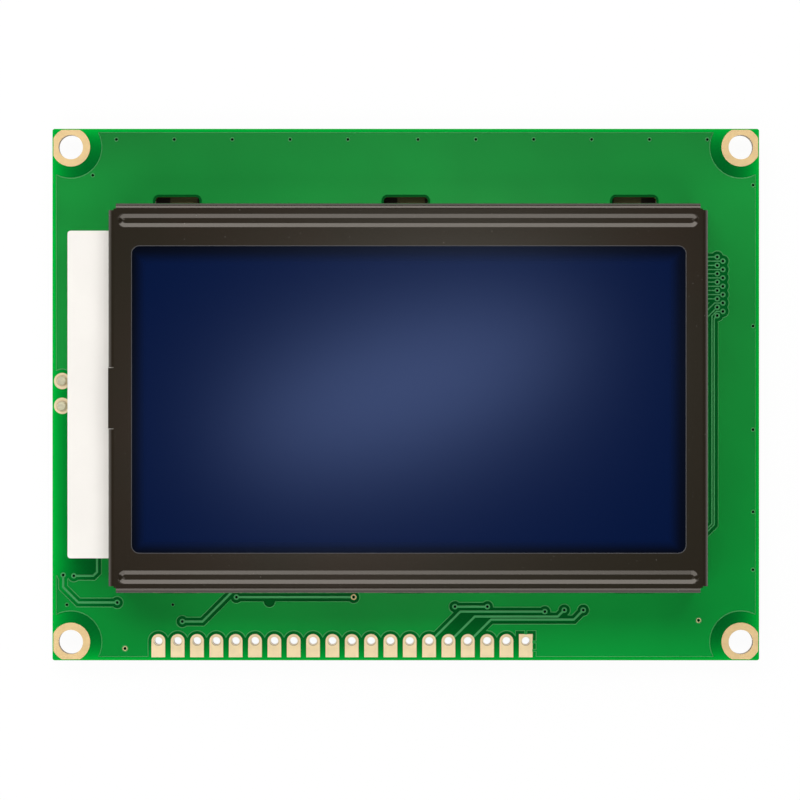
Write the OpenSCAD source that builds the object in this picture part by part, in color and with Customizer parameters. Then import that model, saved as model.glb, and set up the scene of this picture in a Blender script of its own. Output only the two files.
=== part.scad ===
// Graphic LCD module: a circuit board that carries a display cell in a folded bezel,
// with an edge-lit backlight behind the cell and glob-topped chips on the rear.
// It lies face up: X runs right and Y up as the display is read, Z comes out of the display.
// Origin: the middle of the four mounting holes, on the rear face of the board.

/* [Board] */
// Width of the circuit board
board_w = 92.8; // [84:0.1:102]
// Height of the circuit board
board_h = 69.8; // [64:0.1:77]
// Thickness of the bare board
board_t = 1.6; // [1:0.1:2.4]
// Radius of the board's corners
board_corner_r = 0.3; // [0.1:0.1:1]

/* [Mounting holes] */
// From the board's edges to the middle of each mounting hole
mount_edge = 2.4; // [2.3:0.1:3.5]
// Diameter of the plated mounting holes
mount_hole_d = 3.2; // [2:0.1:3.4]
// Diameter of the gold ring round each mounting hole
mount_ring_d = 5.1; // [4:0.1:5.4]
// Bare strip between the gold rings and the board's edges
ring_margin = 0.13; // [0.05:0.01:0.3]
// Diameter of the area round each mounting hole that holds no pour
mount_clear_d = 8.2; // [6:0.1:8.6]

/* [Copper] */
// Height of copper and mask above the bare board
copper_t = 0.05; // [0.04:0.01:0.1]
// Bare strip between the pour and the board's edges
pour_margin = 0.5; // [0.3:0.1:0.7]
// Gap between the pour and other copper
copper_clear = 0.44; // [0.3:0.02:0.5]
// Width of a signal trace
trace_w = 0.28; // [0.2:0.02:0.32]
// Wall of the plating in mounting, header and terminal holes
plating_t = 0.1; // [0.05:0.01:0.2]

/* [Vias] */
// Diameter of the hole through a via
via_hole_d = 0.36; // [0.2:0.02:0.4]
// Wall of the plating in a via
via_plating_t = 0.05; // [0.02:0.01:0.08]
// Diameter of the pad round a signal via
via_pad_d = 0.72; // [0.6:0.02:0.76]
// Diameter of the bare gold ring round an exposed via
via_ring_d = 0.75; // [0.7:0.05:1.2]
// Spacing of the stitching vias along the upper edge
stitch_pitch = 7.6; // [7:0.02:7.7]
// From the board's upper edge to the row of stitching vias
stitch_edge = 1.4; // [1.2:0.02:2]
// From the board's lower edge to the exposed via beside the header
header_via_edge = 1.55; // [1.2:0.05:3]
// From the board's right edge to the column of stitching vias
side_stitch_edge = 0.8; // [0.8:0.05:1.5]

/* [Header] */
// Number of header pads
header_pins = 20; // [10:1:20]
// Spacing of the header pads
header_pitch = 2.54; // [2.3:0.01:2.54]
// Middle of the header row, from the board's middle
header_x = -8.37; // [-9:0.01:-6]
// From the board's lower edge to the row of holes
header_edge = 2.55; // [2.3:0.05:2.8]
// Diameter of the plated header holes
header_hole_d = 1; // [0.8:0.05:1.1]
// Width of a header pad
header_pad_w = 1.8; // [1.6:0.05:1.9]
// Bare strip between the header pads and the board's edge
header_pad_margin = 0.4; // [0.2:0.05:0.8]
// Gap between the header pads and the pour
header_clear = 0.45; // [0.35:0.05:0.5]
// Spacing of the two spokes beside the first header pad
spoke_pitch = 1.1; // [0.8:0.05:1.3]

/* [Traces over the header] */
// Pins that the bus traces start from, counted from the first
bus_pins = [5, 4, 3]; // [1:1:9]
// How far the bus traces sit to the right of their pins
bus_shift = 0.25; // [0:0.05:0.3]
// Height of each bus trace above the row of pins
bus_rise = [3.85, 3.2, 2.8]; // [2:0.01:5]
// End of each bus trace to the right of the first pin
bus_end = [2.5, 4.2, 6.3]; // [1:0.05:8]
// Height of the bus vias above the row of pins
bus_via_rise = 4.05; // [3.9:0.05:4.2]
// Ends of the jumper trace, to the left of the first pin
jumper_ends = [9.3, 5.05]; // [4:0.05:10]
// Height of the jumper trace above the row of pins
jumper_rise = 4.5; // [4.4:0.05:4.6]
// From the end of the link trace to the middle slot
link_gap = 3.95; // [3.5:0.05:5]

/* [Bezel] */
// From the board's left edge to the bezel
left_margin = 7.9; // [7.4:0.1:9]
// From the board's right edge to the bezel
right_margin = 7.3; // [6.5:0.1:9]
// From the board's upper edge to the bezel
upper_margin = 10.15; // [9.2:0.05:12]
// From the board's lower edge to the bezel
lower_margin = 9.2; // [8.6:0.1:10]
// Thickness of the bezel's sheet
bezel_t = 0.5; // [0.3:0.05:0.6]
// Outer radius of the bezel's bends
bend_r = 0.7; // [0.65:0.05:1]
// Length by which the long flanges stop short of each corner
relief_w = 1; // [1:0.05:1.5]
// Length by which the side flanges stop short of each corner
relief_h = 0.9; // [0.9:0.05:1.5]
// Length of the gap in the left flange that holds the flat lip
lip_notch = 8; // [5:0.5:12]
// Slit at each end of the flat lip
lip_gap = 0.2; // [0.15:0.05:0.8]
// Gap between the side flanges and the backlight housing
flange_clear = 0.2; // [0.1:0.05:0.5]

/* [Window and beads] */
// Width of the bezel's border to the left of the window
left_border = 3.05; // [2.7:0.05:5]
// Width of the bezel's border to the right of the window
right_border = 2.9; // [2.7:0.05:5]
// Width of the bezel's border above the window
upper_border = 5.55; // [5:0.05:8]
// Width of the bezel's border below the window
lower_border = 5.2; // [5:0.05:8]
// Radius of the window's corners
window_r = 1; // [0.4:0.1:2]
// Width of the pressed beads
bead_w = 1.8; // [1.2:0.1:1.9]
// From the bezel's outer edge to the middle of a bead
bead_inset = 2.25; // [2.15:0.05:2.4]
// From the bezel's side to the end of a bead
bead_end = 1.3; // [1.1:0.05:4]

/* [Bezel tabs] */
// Spacing of the board's slots for the tabs
slot_pitch = 30; // [28:0.5:31]
// Length of a slot
slot_len = 5.8; // [5.6:0.1:7]
// Width of a slot
slot_w = 1.8; // [1.7:0.05:1.9]
// Radius of a slot's corners
slot_corner_r = 0.5; // [0.3:0.05:0.6]
// How far the slots sit above the middle of the flanges
slot_offset = 0.55; // [0.5:0.01:0.58]
// Gap between a slot and the pour
slot_clear = 0.3; // [0.2:0.05:0.4]
// Width of a tab
tab_w = 3.6; // [2.5:0.1:3.8]
// How far the outer tabs sit inwards of the middle of their slots
tab_lean = 0.8; // [0:0.1:0.8]
// How far the middle tabs sit to the right in their slots
tab_shift = 0.7; // [0:0.1:0.8]
// Gap between a tab's wider foot and each end of its slot
foot_gap = 0.35; // [0.3:0.05:0.6]
// Reach of the bent tab past the flange
tab_leg = 2.2; // [1.6:0.1:2.6]

/* [Display cell] */
// Thickness of each glass
glass_t = 1.1; // [0.7:0.1:1.1]
// Gap between the glass and the bezel's walls
glass_clear = 0.4; // [0.2:0.05:0.8]
// How far the front glass reaches past the rear glass, above and below
contact_ledge = 2.9; // [2.7:0.1:3.4]
// Thickness of each polariser
polariser_t = 0.2; // [0.1:0.02:0.3]
// How far the polarisers reach past the window
polariser_lap = 1.5; // [0.8:0.1:1.7]
// Gap between the front polariser and the bezel's sheet
bezel_gap = 0.1; // [0.05:0.01:0.2]

/* [Elastomer strips] */
// Width of an elastomer strip
zebra_w = 2; // [1.4:0.1:2.1]
// From the bezel's side to the end of an elastomer strip
zebra_end = 1.9; // [1.2:0.1:4]
// Number of contact fingers under each strip
finger_count = 64; // [40:1:80]
// Share of the finger spacing that is gold
finger_fill = 0.5; // [0.3:0.05:0.7]
// How far the fingers reach past each side of the strip
finger_lap = 0.2; // [0.1:0.05:0.3]

/* [Backlight] */
// From the board's left edge to the end of the backlight housing
backlight_edge = 2.4; // [2.3:0.1:3]
// Overall thickness of the backlight
backlight_t = 5.35; // [4.6:0.05:6.5]
// Gap between the housing and the nearer elastomer strip
strip_clear = 0.2; // [0.1:0.05:0.4]
// Radius of the housing's upright corners
housing_corner_r = 0.4; // [0.2:0.05:0.6]
// Wall of the backlight housing
housing_wall = 0.8; // [0.6:0.05:1]
// Floor of the backlight housing
housing_floor = 0.6; // [0.4:0.05:0.8]
// Thickness of the housing's cover over the lamps
cover_t = 0.6; // [0.4:0.05:0.8]
// How far the cover reaches under the bezel
cover_lap = 0.9; // [0.6:0.1:1.2]
// Play round the light guide
guide_clear = 0.1; // [0.05:0.01:0.2]
// Thickness of the reflector sheet
reflector_t = 0.15; // [0.1:0.01:0.2]
// Thickness of the diffuser sheet
diffuser_t = 0.3; // [0.1:0.05:0.35]
// Thickness of the lamp board
led_board_t = 0.8; // [0.6:0.1:1]
// Number of lamps
led_count = 6; // [4:1:9]
// Length of a lamp along its board
led_len = 3; // [2:0.1:3.5]
// Height of a lamp
led_h = 1.8; // [1.2:0.1:2]
// How far a lamp stands off its board
led_depth = 1.2; // [0.8:0.1:1.4]

/* [Backlight terminals] */
// Spacing of the two terminals
terminal_pitch = 3.25; // [2.9:0.01:4]
// Middle of the two terminals above the board's middle
terminal_rise = 0.15; // [-1:0.05:1]
// Diameter of a terminal pad
terminal_pad_d = 2.15; // [1.8:0.05:2.15]
// Diameter of the hole in a terminal pad
terminal_hole_d = 1; // [0.8:0.05:1.1]
// Gap between a terminal pad and the housing
terminal_gap = 0.05; // [0.05:0.01:0.1]
// Gap between a terminal pad and the pour
terminal_clear = 0.5; // [0.3:0.05:0.6]
// Diameter of the solder on a terminal
solder_d = 1.3; // [1.2:0.05:1.5]
// Height of the solder on a terminal
solder_h = 0.35; // [0.3:0.05:0.5]
// Width of a backlight lead
lead_w = 0.8; // [0.5:0.05:0.9]
// Thickness of a backlight lead
lead_t = 0.2; // [0.1:0.02:0.25]
// Play round a lead in the housing
lead_clear = 0.1; // [0.05:0.01:0.15]

/* [Fan of signal vias] */
// Number of vias in the fan beside the bezel
fan_count = 15; // [13:2:17]
// Step from one via of the fan to the next along the bezel
fan_step = 0.55; // [0.53:0.01:0.6]
// First via of the fan above the bezel's middle
fan_top = 18.55; // [16:0.05:19]
// From the bezel to the nearer column of vias
fan_near = 1.8; // [1.7:0.05:2]
// From the nearer to the farther column of vias
fan_stagger = 0.74; // [0.7:0.02:0.9]
// Width of the fan's traces
fan_trace_w = 0.16; // [0.1:0.02:0.18]
// Depth of the notches between the fan's vias in the edge of the pour
fan_scallop = 0.15; // [0.05:0.01:0.2]
// Lower end of the two long traces, below the bezel's middle
fan_drop = 16.5; // [10:0.05:18]
// How far the fan's traces reach under the bezel
fan_hide = 1; // [0.5:0.1:2]
// From the nearer column of vias to the inner long trace
fan_rail = 0.7; // [0.6:0.02:0.8]
// Spacing of the two long traces
fan_rail_pitch = 0.3; // [0.26:0.01:0.34]

/* [Rear side] */
// Diameter of a glob top
glob_d = 13; // [11:0.5:14]
// Height of a glob top at its flat middle
glob_h = 1.35; // [1.2:0.05:1.8]
// Height that a glob top's dome would reach without its flat
glob_dome_h = 1.95; // [1.9:0.05:2.6]
// From the board's middle to each driver chip, sideways
driver_x = 24; // [20:0.5:28]
// From the upper slots down to the middle of each driver chip
driver_drop = 10.9; // [9.5:0.1:12]
// Controller chip below the board's middle
controller_y = 12; // [8:0.5:14]
// Number of traces from the controller chip to each driver chip
bundle_count = 4; // [2:1:6]
// Spacing of those traces
bundle_pitch = 1; // [0.7:0.05:1.1]
// Header pins that run to the controller chip, counted from the first
data_pins = [8, 10, 11, 12, 13]; // [0:1:19]
// Length of the straight start of those traces
data_rise = 10; // [8:0.5:11]
// Length of a chip resistor or capacitor
chip_len = 2; // [1.6:0.1:2.2]
// Width of a chip resistor or capacitor
chip_w = 1.25; // [0.8:0.05:1.4]
// Rows of chip resistors
resistor_rows = 4; // [2:1:5]
// Rows of chip capacitors
capacitor_rows = 3; // [2:1:5]
// Height of a chip resistor
resistor_h = 0.5; // [0.4:0.05:0.6]
// Height of a chip capacitor
capacitor_h = 0.85; // [0.6:0.05:0.95]
// Length of a chip's terminal
chip_end = 0.35; // [0.25:0.05:0.45]
// From the board's middle to the middle of each group of chips, sideways
chip_x = 28.1; // [26:0.1:30]
// Uppermost chips below the board's middle
chip_y = 7; // [6:0.1:8]
// Spacing of the chips along their length
chip_pitch_x = 4.2; // [4:0.1:5]
// Spacing of the chips across their length
chip_pitch_y = 2.6; // [2.5:0.1:3]

/* [Hidden] */
$fn = 48;

// Edges of the board and the bezel
board_left = -board_w / 2;
board_right = board_w / 2;
board_bottom = -board_h / 2;
board_top = board_h / 2;
bezel_left = board_left + left_margin;
bezel_right = board_right - right_margin;

// Sizes of the bezel and its window, and the bezel's middle
bezel_w = board_w - left_margin - right_margin;
bezel_h = board_h - upper_margin - lower_margin;
bezel_x = (left_margin - right_margin) / 2;
bezel_y = (lower_margin - upper_margin) / 2;
window_w = bezel_w - left_border - right_border;
window_h = bezel_h - upper_border - lower_border;
window_x = (left_border - right_border) / 2;
window_y = (lower_border - upper_border) / 2;

// Heights of the layers
front_z = board_t + copper_t;
rear_z = -copper_t;
backlight_top = front_z + backlight_t;
rear_polariser_top = backlight_top + polariser_t;
rear_glass_top = rear_polariser_top + glass_t;
front_glass_top = rear_glass_top + glass_t;
front_polariser_top = front_glass_top + polariser_t;
bezel_under = front_polariser_top + bezel_gap;
bezel_top = bezel_under + bezel_t;
bead_depth = bezel_under - front_glass_top;

// Display cell
glass_w = bezel_w - 2 * (bezel_t + glass_clear);
front_glass_h = bezel_h - 2 * (bezel_t + glass_clear);
rear_glass_h = front_glass_h - 2 * contact_ledge;
polariser_w = window_w + 2 * polariser_lap;
polariser_h = window_h + 2 * polariser_lap;
bead_y = bezel_h / 2 - bead_inset;
zebra_len = bezel_w - 2 * zebra_end;
finger_pitch = zebra_len / finger_count;
finger_len = zebra_w + 2 * finger_lap;

// Backlight
backlight_left = board_left + backlight_edge;
backlight_right = bezel_right - bezel_t - glass_clear;
backlight_h = 2 * (bead_y - zebra_w / 2 - abs(bezel_y) - strip_clear);
cavity_left = backlight_left + housing_wall;
cavity_right = backlight_right - housing_wall;
cavity_h = backlight_h - 2 * housing_wall;
cavity_z = front_z + housing_floor;
cover_z = backlight_top - cover_t;
cover_right = bezel_left + cover_lap;
led_board_x = cavity_left + lead_t + lead_clear;
led_x = led_board_x + led_board_t;
guide_left = led_x + led_depth + guide_clear;
guide_right = cavity_right - guide_clear;
guide_h = cavity_h - 2 * guide_clear;
guide_z = cavity_z + reflector_t;
guide_top = cover_z - guide_clear;
led_z = (guide_z + guide_top) / 2;
led_pitch = guide_h / led_count;

// Points where holes, pads and vias sit
mount_dx = board_w - 2 * mount_edge;
mount_dy = board_h - 2 * mount_edge;
mount_points = [for (x = [-1, 1], y = [-1, 1]) [x * mount_dx / 2, y * mount_dy / 2]];
header_y = board_bottom + header_edge;
header_points = [for (i = [0 : header_pins - 1]) header_point(i)];
header_tail = header_edge - header_pad_margin;
terminal_x = backlight_left - terminal_gap - terminal_pad_d / 2;
terminal_points = [for (s = [-1, 1]) [terminal_x, terminal_rise + s * terminal_pitch / 2]];
flange_middle = bezel_h / 2 - bezel_t / 2;
slot_points = [for (s = [-1, 1], i = [-1 : 1]) [i * slot_pitch, bezel_y + s * flange_middle + slot_offset]];
tab_x = [tab_lean - slot_pitch, tab_shift, slot_pitch - tab_lean];
foot_w = slot_len - 2 * foot_gap;
via_drill_d = via_hole_d + 2 * via_plating_t;
driver_y = bezel_y + flange_middle + slot_offset - driver_drop;
driver_points = [for (s = [-1, 1]) [s * driver_x, driver_y]];
controller_point = [0, -controller_y];
glob_points = concat(driver_points, [controller_point]);

// Vias that stitch the two pours together
lower_left = [board_left, board_bottom];
lower_right = [board_right, board_bottom];
upper_left = [board_left, board_top];
stitch_y = board_top - stitch_edge;
stitch_right_start = 1.6;
stitch_reach = board_w / 2 - mount_edge - mount_clear_d / 2;
stitch_left_count = floor(stitch_reach / stitch_pitch);
stitch_right_count = floor((stitch_reach - stitch_right_start) / stitch_pitch);
stitch_left_run = [for (i = [1 : stitch_left_count]) [-i * stitch_pitch, stitch_y]];
stitch_right_run = [for (i = [0 : stitch_right_count]) [stitch_right_start + i * stitch_pitch, stitch_y]];
side_stitch_y = [27.5, 9, -4.6, -15.4, -23];
side_stitch = [for (y = side_stitch_y) [board_right - side_stitch_edge, y]];
loose_stitch = [upper_left + [5.3, -6.1], lower_left + [15.8, 7.3], lower_left + [1.9, 7.3]];
stitch_vias = concat(stitch_left_run, stitch_right_run, side_stitch, loose_stitch);

// Front traces at the lower left, from the corner of the board
lamp_route = [for (p = [[5.85, 15], [5.85, 11.6], [5.35, 11.1], [2.8, 11.1]]) lower_left + p];
corner_route = [for (p = [[1.4, 11.2], [1.4, 9.6], [3.4, 7.6], [8.5, 7.6]]) lower_left + p];
diagonal_bend = lower_left + [19.7, 5.1];
diagonal_rise = bezel_y - bead_y - finger_len / 2 - trace_w - diagonal_bend.y;
diagonal_route = [lower_left + [17.05, 5.1], diagonal_bend, diagonal_bend + [1, 1] * diagonal_rise];
link_start = lower_left + [24.15, 8.3];
link_route = [link_start, [-slot_len / 2 - link_gap, link_start.y]];
hidden_via_clearing = lower_left + [28.5, 7.75];
hidden_via_clear_d = 1.56;

// Front traces over the right end of the header, from the first pin
first_pin = header_point(0);
jumper_route = [for (x = jumper_ends) first_pin + [-x, jumper_rise]];
bus_routes = [for (k = [0 : len(bus_pins) - 1]) bus_route(k)];

// Fan of vias and traces at the right of the bezel; its last four traces are bent
fan_y = bezel_y + fan_top;
fan_column = bezel_right + fan_near;
fan_knee = [0.35, 0, 0.1, 0];
fan_foot_step = 0.12;
fan_straight = fan_count - len(fan_knee);
fan_vias = [for (i = [0 : fan_count - 1]) fan_via(i)];
fan_routes = [for (i = [0 : fan_count - 1]) fan_route(i)];

// Signal vias, exposed vias and all routes of the front
signal_routes = concat([lamp_route, corner_route, diagonal_route, link_route, jumper_route], bus_routes);
exposed_signal_via = last(link_route);
mount_clearing_end = mount_points[0].x + mount_clear_d / 2;
header_clearing_end = last(header_points).x - header_pad_w / 2 - header_clear;
header_via = [(mount_clearing_end + header_clearing_end) / 2, board_bottom + header_via_edge];
exposed_vias = [exposed_signal_via, lower_right + [-7.95, 5.25], header_via];
route_vias = concat(
    [last(lamp_route), corner_route[0], last(corner_route), diagonal_route[0], link_route[0]],
    jumper_route,
    [for (r = bus_routes) last(r)]
);
signal_vias = concat(route_vias, fan_vias);
rear_vias = concat(signal_vias, [exposed_signal_via]);

// Traces on the rear: from the fan to its driver, from the controller to both drivers, and from the header
fan_links = [for (via = fan_vias) [via, driver_points[1]]];
bundle_links = [for (p = driver_points, k = [0 : bundle_count - 1]) bundle_link(p, k)];
data_links = [for (i = data_pins) data_link(header_point(i))];
all_vias = concat(stitch_vias, exposed_vias, signal_vias);

// Chips on the rear, in two columns each
resistor_points = chip_grid(chip_x, resistor_rows);
capacitor_points = chip_grid(-chip_x, capacitor_rows);
chip_points = concat(resistor_points, capacitor_points);
chip_pad_lap = 0.3;
chip_pad_len = chip_end + 2 * chip_pad_lap;
chip_pad_w = chip_w + chip_pad_lap;

// Pin i of the header, counted from the right
function header_point(i) = [header_x + header_pitch * ((header_pins - 1) / 2 - i), header_y];

// Chips in two columns about x
function chip_grid(x, rows) =
    [for (s = [-1, 1], j = [0 : rows - 1]) [x + s * chip_pitch_x / 2, -chip_y - j * chip_pitch_y]];

// Last point of a route
function last(path) = path[len(path) - 1];

// Route from a header pin up at 45 degrees, along and up to its via
function bus_route(k) =
    let (
        pin = header_point(bus_pins[k]) + [bus_shift, 0],
        turn = [first_pin.x + bus_end[k], pin.y + bus_rise[k]],
        climb = bus_via_rise - bus_rise[k]
    )
    k == 0
        ? [pin, pin + [1, 1] * bus_rise[k], turn]
        : [pin, pin + [1, 1] * bus_rise[k], turn, turn + [1, 1] * climb];

// Trace k of the bundle from the controller to a driver at p
function bundle_link(p, k) =
    let (aside = left_of(unit(p - controller_point)) * bundle_pitch * (k - (bundle_count - 1) / 2))
    [controller_point + aside, p + aside];

// Trace from a header pin straight up and then to the controller
function data_link(pin) = [pin, pin + [0, data_rise], controller_point];

// Via i of the fan: even ones sit in the nearer column
function fan_via(i) = [fan_column + (i % 2) * fan_stagger, fan_y - i * fan_step];

// Trace of via i: most run straight under the bezel, two slant and two run down beside it
function fan_route(i) =
    let (
        via = fan_via(i),
        hidden = bezel_right - fan_hide,
        rank = i - fan_straight,
        knee = fan_column - fan_knee[max(rank, 0)],
        rail = fan_column - fan_rail + (rank == 2 ? 0 : fan_rail_pitch),
        foot = bezel_y - fan_drop - (rank == 2 ? 0 : fan_foot_step)
    )
    rank < 0 ? [via, [hidden, via.y]]
        : rank == 0 ? [via, [knee, via.y], [hidden, via.y - (knee - hidden)]]
        : rank == 1 ? [via, [hidden, via.y - (via.x - hidden)]]
        : rank == 2 ? concat([via, [knee, via.y]], fan_rail_run(knee, via.y, rail, foot))
        : concat([via], fan_rail_run(via.x, via.y, rail, foot));

// Rest of a long trace: from (x, y) to its rail, down to its foot and under the bezel
function fan_rail_run(x, y, rail, foot) =
    [slant(x, y, rail), [rail, foot], slant(rail, foot, bezel_right - fan_hide)];

// Point reached from (x, y) down to the left at 45 degrees, at x = to_x
function slant(x, y, to_x) = [to_x, y - (x - to_x)];

// Unit vector, and the normal to the left of a direction
function unit(v) = v / norm(v);
function left_of(v) = [-v.y, v.x];

// Mitred corner of a band along a path, h to the left of point i
function band_corner(path, i, h) =
    let (
        before = unit(path[max(i, 1)] - path[max(i, 1) - 1]),
        after = i == len(path) - 1 ? before : unit(path[i + 1] - path[i]),
        mitre = left_of(before) + left_of(after)
    )
    path[i] + mitre * (2 * h / (mitre * mitre));

// Flat band of width w along a path
module band(path, w) {
    n = len(path);
    left = [for (i = [0 : n - 1]) band_corner(path, i, w / 2)];
    right = [for (i = [0 : n - 1]) band_corner(path, n - 1 - i, -w / 2)];
    polygon(concat(left, right));
}

// Copies of a shape at a list of points
module at(points) {
    for (p = points)
        translate(p)
            children();
}

// Flat rectangle with round corners, about its middle
module rounded_rect(w, h, r) {
    square([w - 2 * r, h], center = true);
    square([w, h - 2 * r], center = true);
    for (x = [-1, 1], y = [-1, 1])
        translate([x * (w / 2 - r), y * (h / 2 - r)])
            circle(r = r);
}

// Box from its lowest to its highest corner
module block(low, high) {
    translate(low)
        cube(high - low);
}

// Flat slab about the bezel's middle
module cell_slab(w, h, low, high) {
    translate([bezel_x, bezel_y, low])
        linear_extrude(high - low)
            square([w, h], center = true);
}

// Layers of copper on the two faces of the board, and a layer right through
module front_copper() {
    translate([0, 0, board_t])
        linear_extrude(copper_t)
            children();
}

module rear_copper() {
    translate([0, 0, rear_z])
        linear_extrude(copper_t)
            children();
}

module through_copper() {
    translate([0, 0, rear_z])
        linear_extrude(front_z - rear_z)
            children();
}

// Cutter that goes past both faces of the board and its copper
module punch() {
    translate([0, 0, rear_z - board_t])
        linear_extrude(front_z - rear_z + 2 * board_t)
            children();
}

// Outline of a pour: the board less its bare margin
module pour_outline() {
    square([board_w - 2 * pour_margin, board_h - 2 * pour_margin], center = true);
}

// Outline of header pad i: round at the top, or square on the first pin
module header_pad_outline(i) {
    translate([-header_pad_w / 2, -header_tail])
        square([header_pad_w, header_tail + (i == 0 ? header_pad_w / 2 : 0)]);
    if (i > 0)
        circle(d = header_pad_w);
}

module header_outlines() {
    for (i = [0 : header_pins - 1])
        translate(header_point(i))
            header_pad_outline(i);
}

// Area round the header pads that holds no pour
module header_clearing() {
    reach = header_pad_w / 2 + header_clear;
    row_left = last(header_points).x - reach;
    at(header_points)
        circle(r = reach);
    translate([row_left, board_bottom])
        square([first_pin.x + reach - row_left, header_edge]);
    translate(first_pin - [reach, 0])
        square([2 * reach, reach]);
}

// Spokes that join the first header pad to the pour
module thermal_spokes() {
    reach = header_clear + trace_w;
    edge = header_pad_w / 2;
    translate(first_pin + [-trace_w / 2, edge])
        square([trace_w, reach]);
    for (i = [0 : 1])
        translate(first_pin + [edge, -i * spoke_pitch - trace_w])
            square([reach, trace_w]);
}

// Area between the bus traces that holds no pour
module bus_clearing() {
    polygon([for (r = [bus_routes[0], bus_routes[2]], i = r == bus_routes[0] ? [0, 1, 2] : [2, 1, 0]) r[i]]);
}

// Rows of contact fingers, and the areas round them that hold no pour
module finger_row(side) {
    for (i = [0 : finger_count - 1])
        translate([bezel_x + finger_pitch * (i - (finger_count - 1) / 2), bezel_y + side * bead_y])
            square([finger_pitch * finger_fill, finger_len], center = true);
}

module finger_clearing(side) {
    translate([bezel_x, bezel_y + side * bead_y])
        square([zebra_len, finger_len + 2 * copper_clear], center = true);
}

// Slots for the bezel's tabs, widened by a gap
module slot_outlines(gap) {
    at(slot_points)
        rounded_rect(slot_len + 2 * gap, slot_w + 2 * gap, slot_corner_r + gap);
}

module circuit_board() {
    color("#00602c")
        linear_extrude(board_t)
            difference() {
                rounded_rect(board_w, board_h, board_corner_r);
                at(mount_points) circle(d = mount_hole_d + 2 * plating_t);
                at(header_points) circle(d = header_hole_d + 2 * plating_t);
                at(terminal_points) circle(d = terminal_hole_d + 2 * plating_t);
                at(all_vias) circle(d = via_drill_d);
                slot_outlines(0);
            }
}

// Area beside the backlight that holds no pour, from the upper terminal down to the lamp trace
module lamp_clearing() {
    low = last(lamp_route).y;
    translate([board_left, low])
        square([lamp_route[0].x - board_left, terminal_points[1].y - low]);
}

module front_ground_pour() {
    color("#198c37")
        front_copper() {
            difference() {
                pour_outline();
                at(mount_points) circle(d = mount_clear_d);
                at(terminal_points) circle(d = terminal_pad_d + 2 * terminal_clear);
                at(stitch_vias) circle(d = via_drill_d);
                at(exposed_vias) circle(d = via_ring_d);
                at([exposed_signal_via]) circle(d = via_ring_d + 2 * copper_clear);
                at(signal_vias) circle(d = via_pad_d + 2 * copper_clear);
                at([hidden_via_clearing]) circle(d = hidden_via_clear_d);
                for (route = signal_routes)
                    band(route, trace_w + 2 * copper_clear);
                for (route = fan_routes)
                    band(route, fan_trace_w + 2 * copper_clear);
                band([fan_via(1), fan_via(fan_count - 2)], via_pad_d + 2 * (copper_clear - fan_scallop));
                lamp_clearing();
                for (route = bus_routes)
                    band(route, trace_w + 2 * header_clear);
                bus_clearing();
                header_clearing();
                slot_outlines(slot_clear);
                for (side = [-1, 1])
                    finger_clearing(side);
            }
            thermal_spokes();
        }
}

module front_signal_traces() {
    color("#3c9650")
        difference() {
            union() {
                for (route = signal_routes)
                    front_copper() band(route, trace_w);
                for (route = fan_routes)
                    front_copper() band(route, fan_trace_w);
                front_copper() at(signal_vias) circle(d = via_pad_d);
            }
            punch() {
                at(signal_vias) circle(d = via_drill_d);
                at([exposed_signal_via]) circle(d = via_ring_d);
                header_outlines();
            }
        }
}

// Area between the traces from the header to the controller that holds no pour
module data_clearing() {
    polygon(concat(data_links[0], [last(data_links)[1], last(data_links)[0]]));
}

// Area under a chip that holds no pour
module chip_clearing() {
    square([chip_len + 2 * chip_pad_lap + 2 * copper_clear, chip_pad_w + 2 * copper_clear], center = true);
}

module rear_ground_pour() {
    color("#198c37")
        rear_copper()
            difference() {
                pour_outline();
                at(mount_points) circle(d = mount_clear_d);
                at(terminal_points) circle(d = terminal_pad_d + 2 * terminal_clear);
                at(stitch_vias) circle(d = via_drill_d);
                at(exposed_vias) circle(d = via_drill_d);
                at(rear_vias) circle(d = via_pad_d + 2 * copper_clear);
                at(glob_points) circle(d = glob_d + 2 * copper_clear);
                at(chip_points) chip_clearing();
                for (route = fan_links)
                    band(route, fan_trace_w + 2 * copper_clear);
                for (route = concat(bundle_links, data_links))
                    band(route, trace_w + 2 * copper_clear);
                data_clearing();
                header_clearing();
                slot_outlines(slot_clear);
            }
}

module rear_signal_traces() {
    color("#3c9650")
        difference() {
            union() {
                for (route = fan_links)
                    rear_copper() band(route, fan_trace_w);
                for (route = concat(bundle_links, data_links))
                    rear_copper() band(route, trace_w);
                rear_copper() at(rear_vias) circle(d = via_pad_d);
            }
            punch() {
                at(rear_vias) circle(d = via_drill_d);
                at(glob_points) circle(d = glob_d);
                header_outlines();
            }
        }
}

// Plated hole: a barrel through the board and a pad on each face
module plated_hole(hole_d, pad_d) {
    difference() {
        union() {
            through_copper() circle(d = hole_d + 2 * plating_t);
            front_copper() circle(d = pad_d);
            rear_copper() circle(d = pad_d);
        }
        punch() circle(d = hole_d);
    }
}

// Gold rings of the mounting holes, cut off near the board's edges
module mount_rings() {
    intersection() {
        at(mount_points)
            circle(d = mount_ring_d);
        square([board_w - 2 * ring_margin, board_h - 2 * ring_margin], center = true);
    }
}

module mounting_hole_plating() {
    color("#ebc896")
        difference() {
            union() {
                through_copper() at(mount_points) circle(d = mount_hole_d + 2 * plating_t);
                front_copper() mount_rings();
                rear_copper() mount_rings();
            }
            punch() at(mount_points) circle(d = mount_hole_d);
        }
}

module header_pads() {
    color("#ebc896")
        for (i = [0 : header_pins - 1])
            translate(header_point(i))
                difference() {
                    union() {
                        through_copper() circle(d = header_hole_d + 2 * plating_t);
                        front_copper() header_pad_outline(i);
                        rear_copper() header_pad_outline(i);
                    }
                    punch() circle(d = header_hole_d);
                }
}

module plated_vias() {
    color("#2b4a2e")
        through_copper()
            at(all_vias)
                difference() {
                    circle(d = via_drill_d);
                    circle(d = via_hole_d);
                }
}

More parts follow.
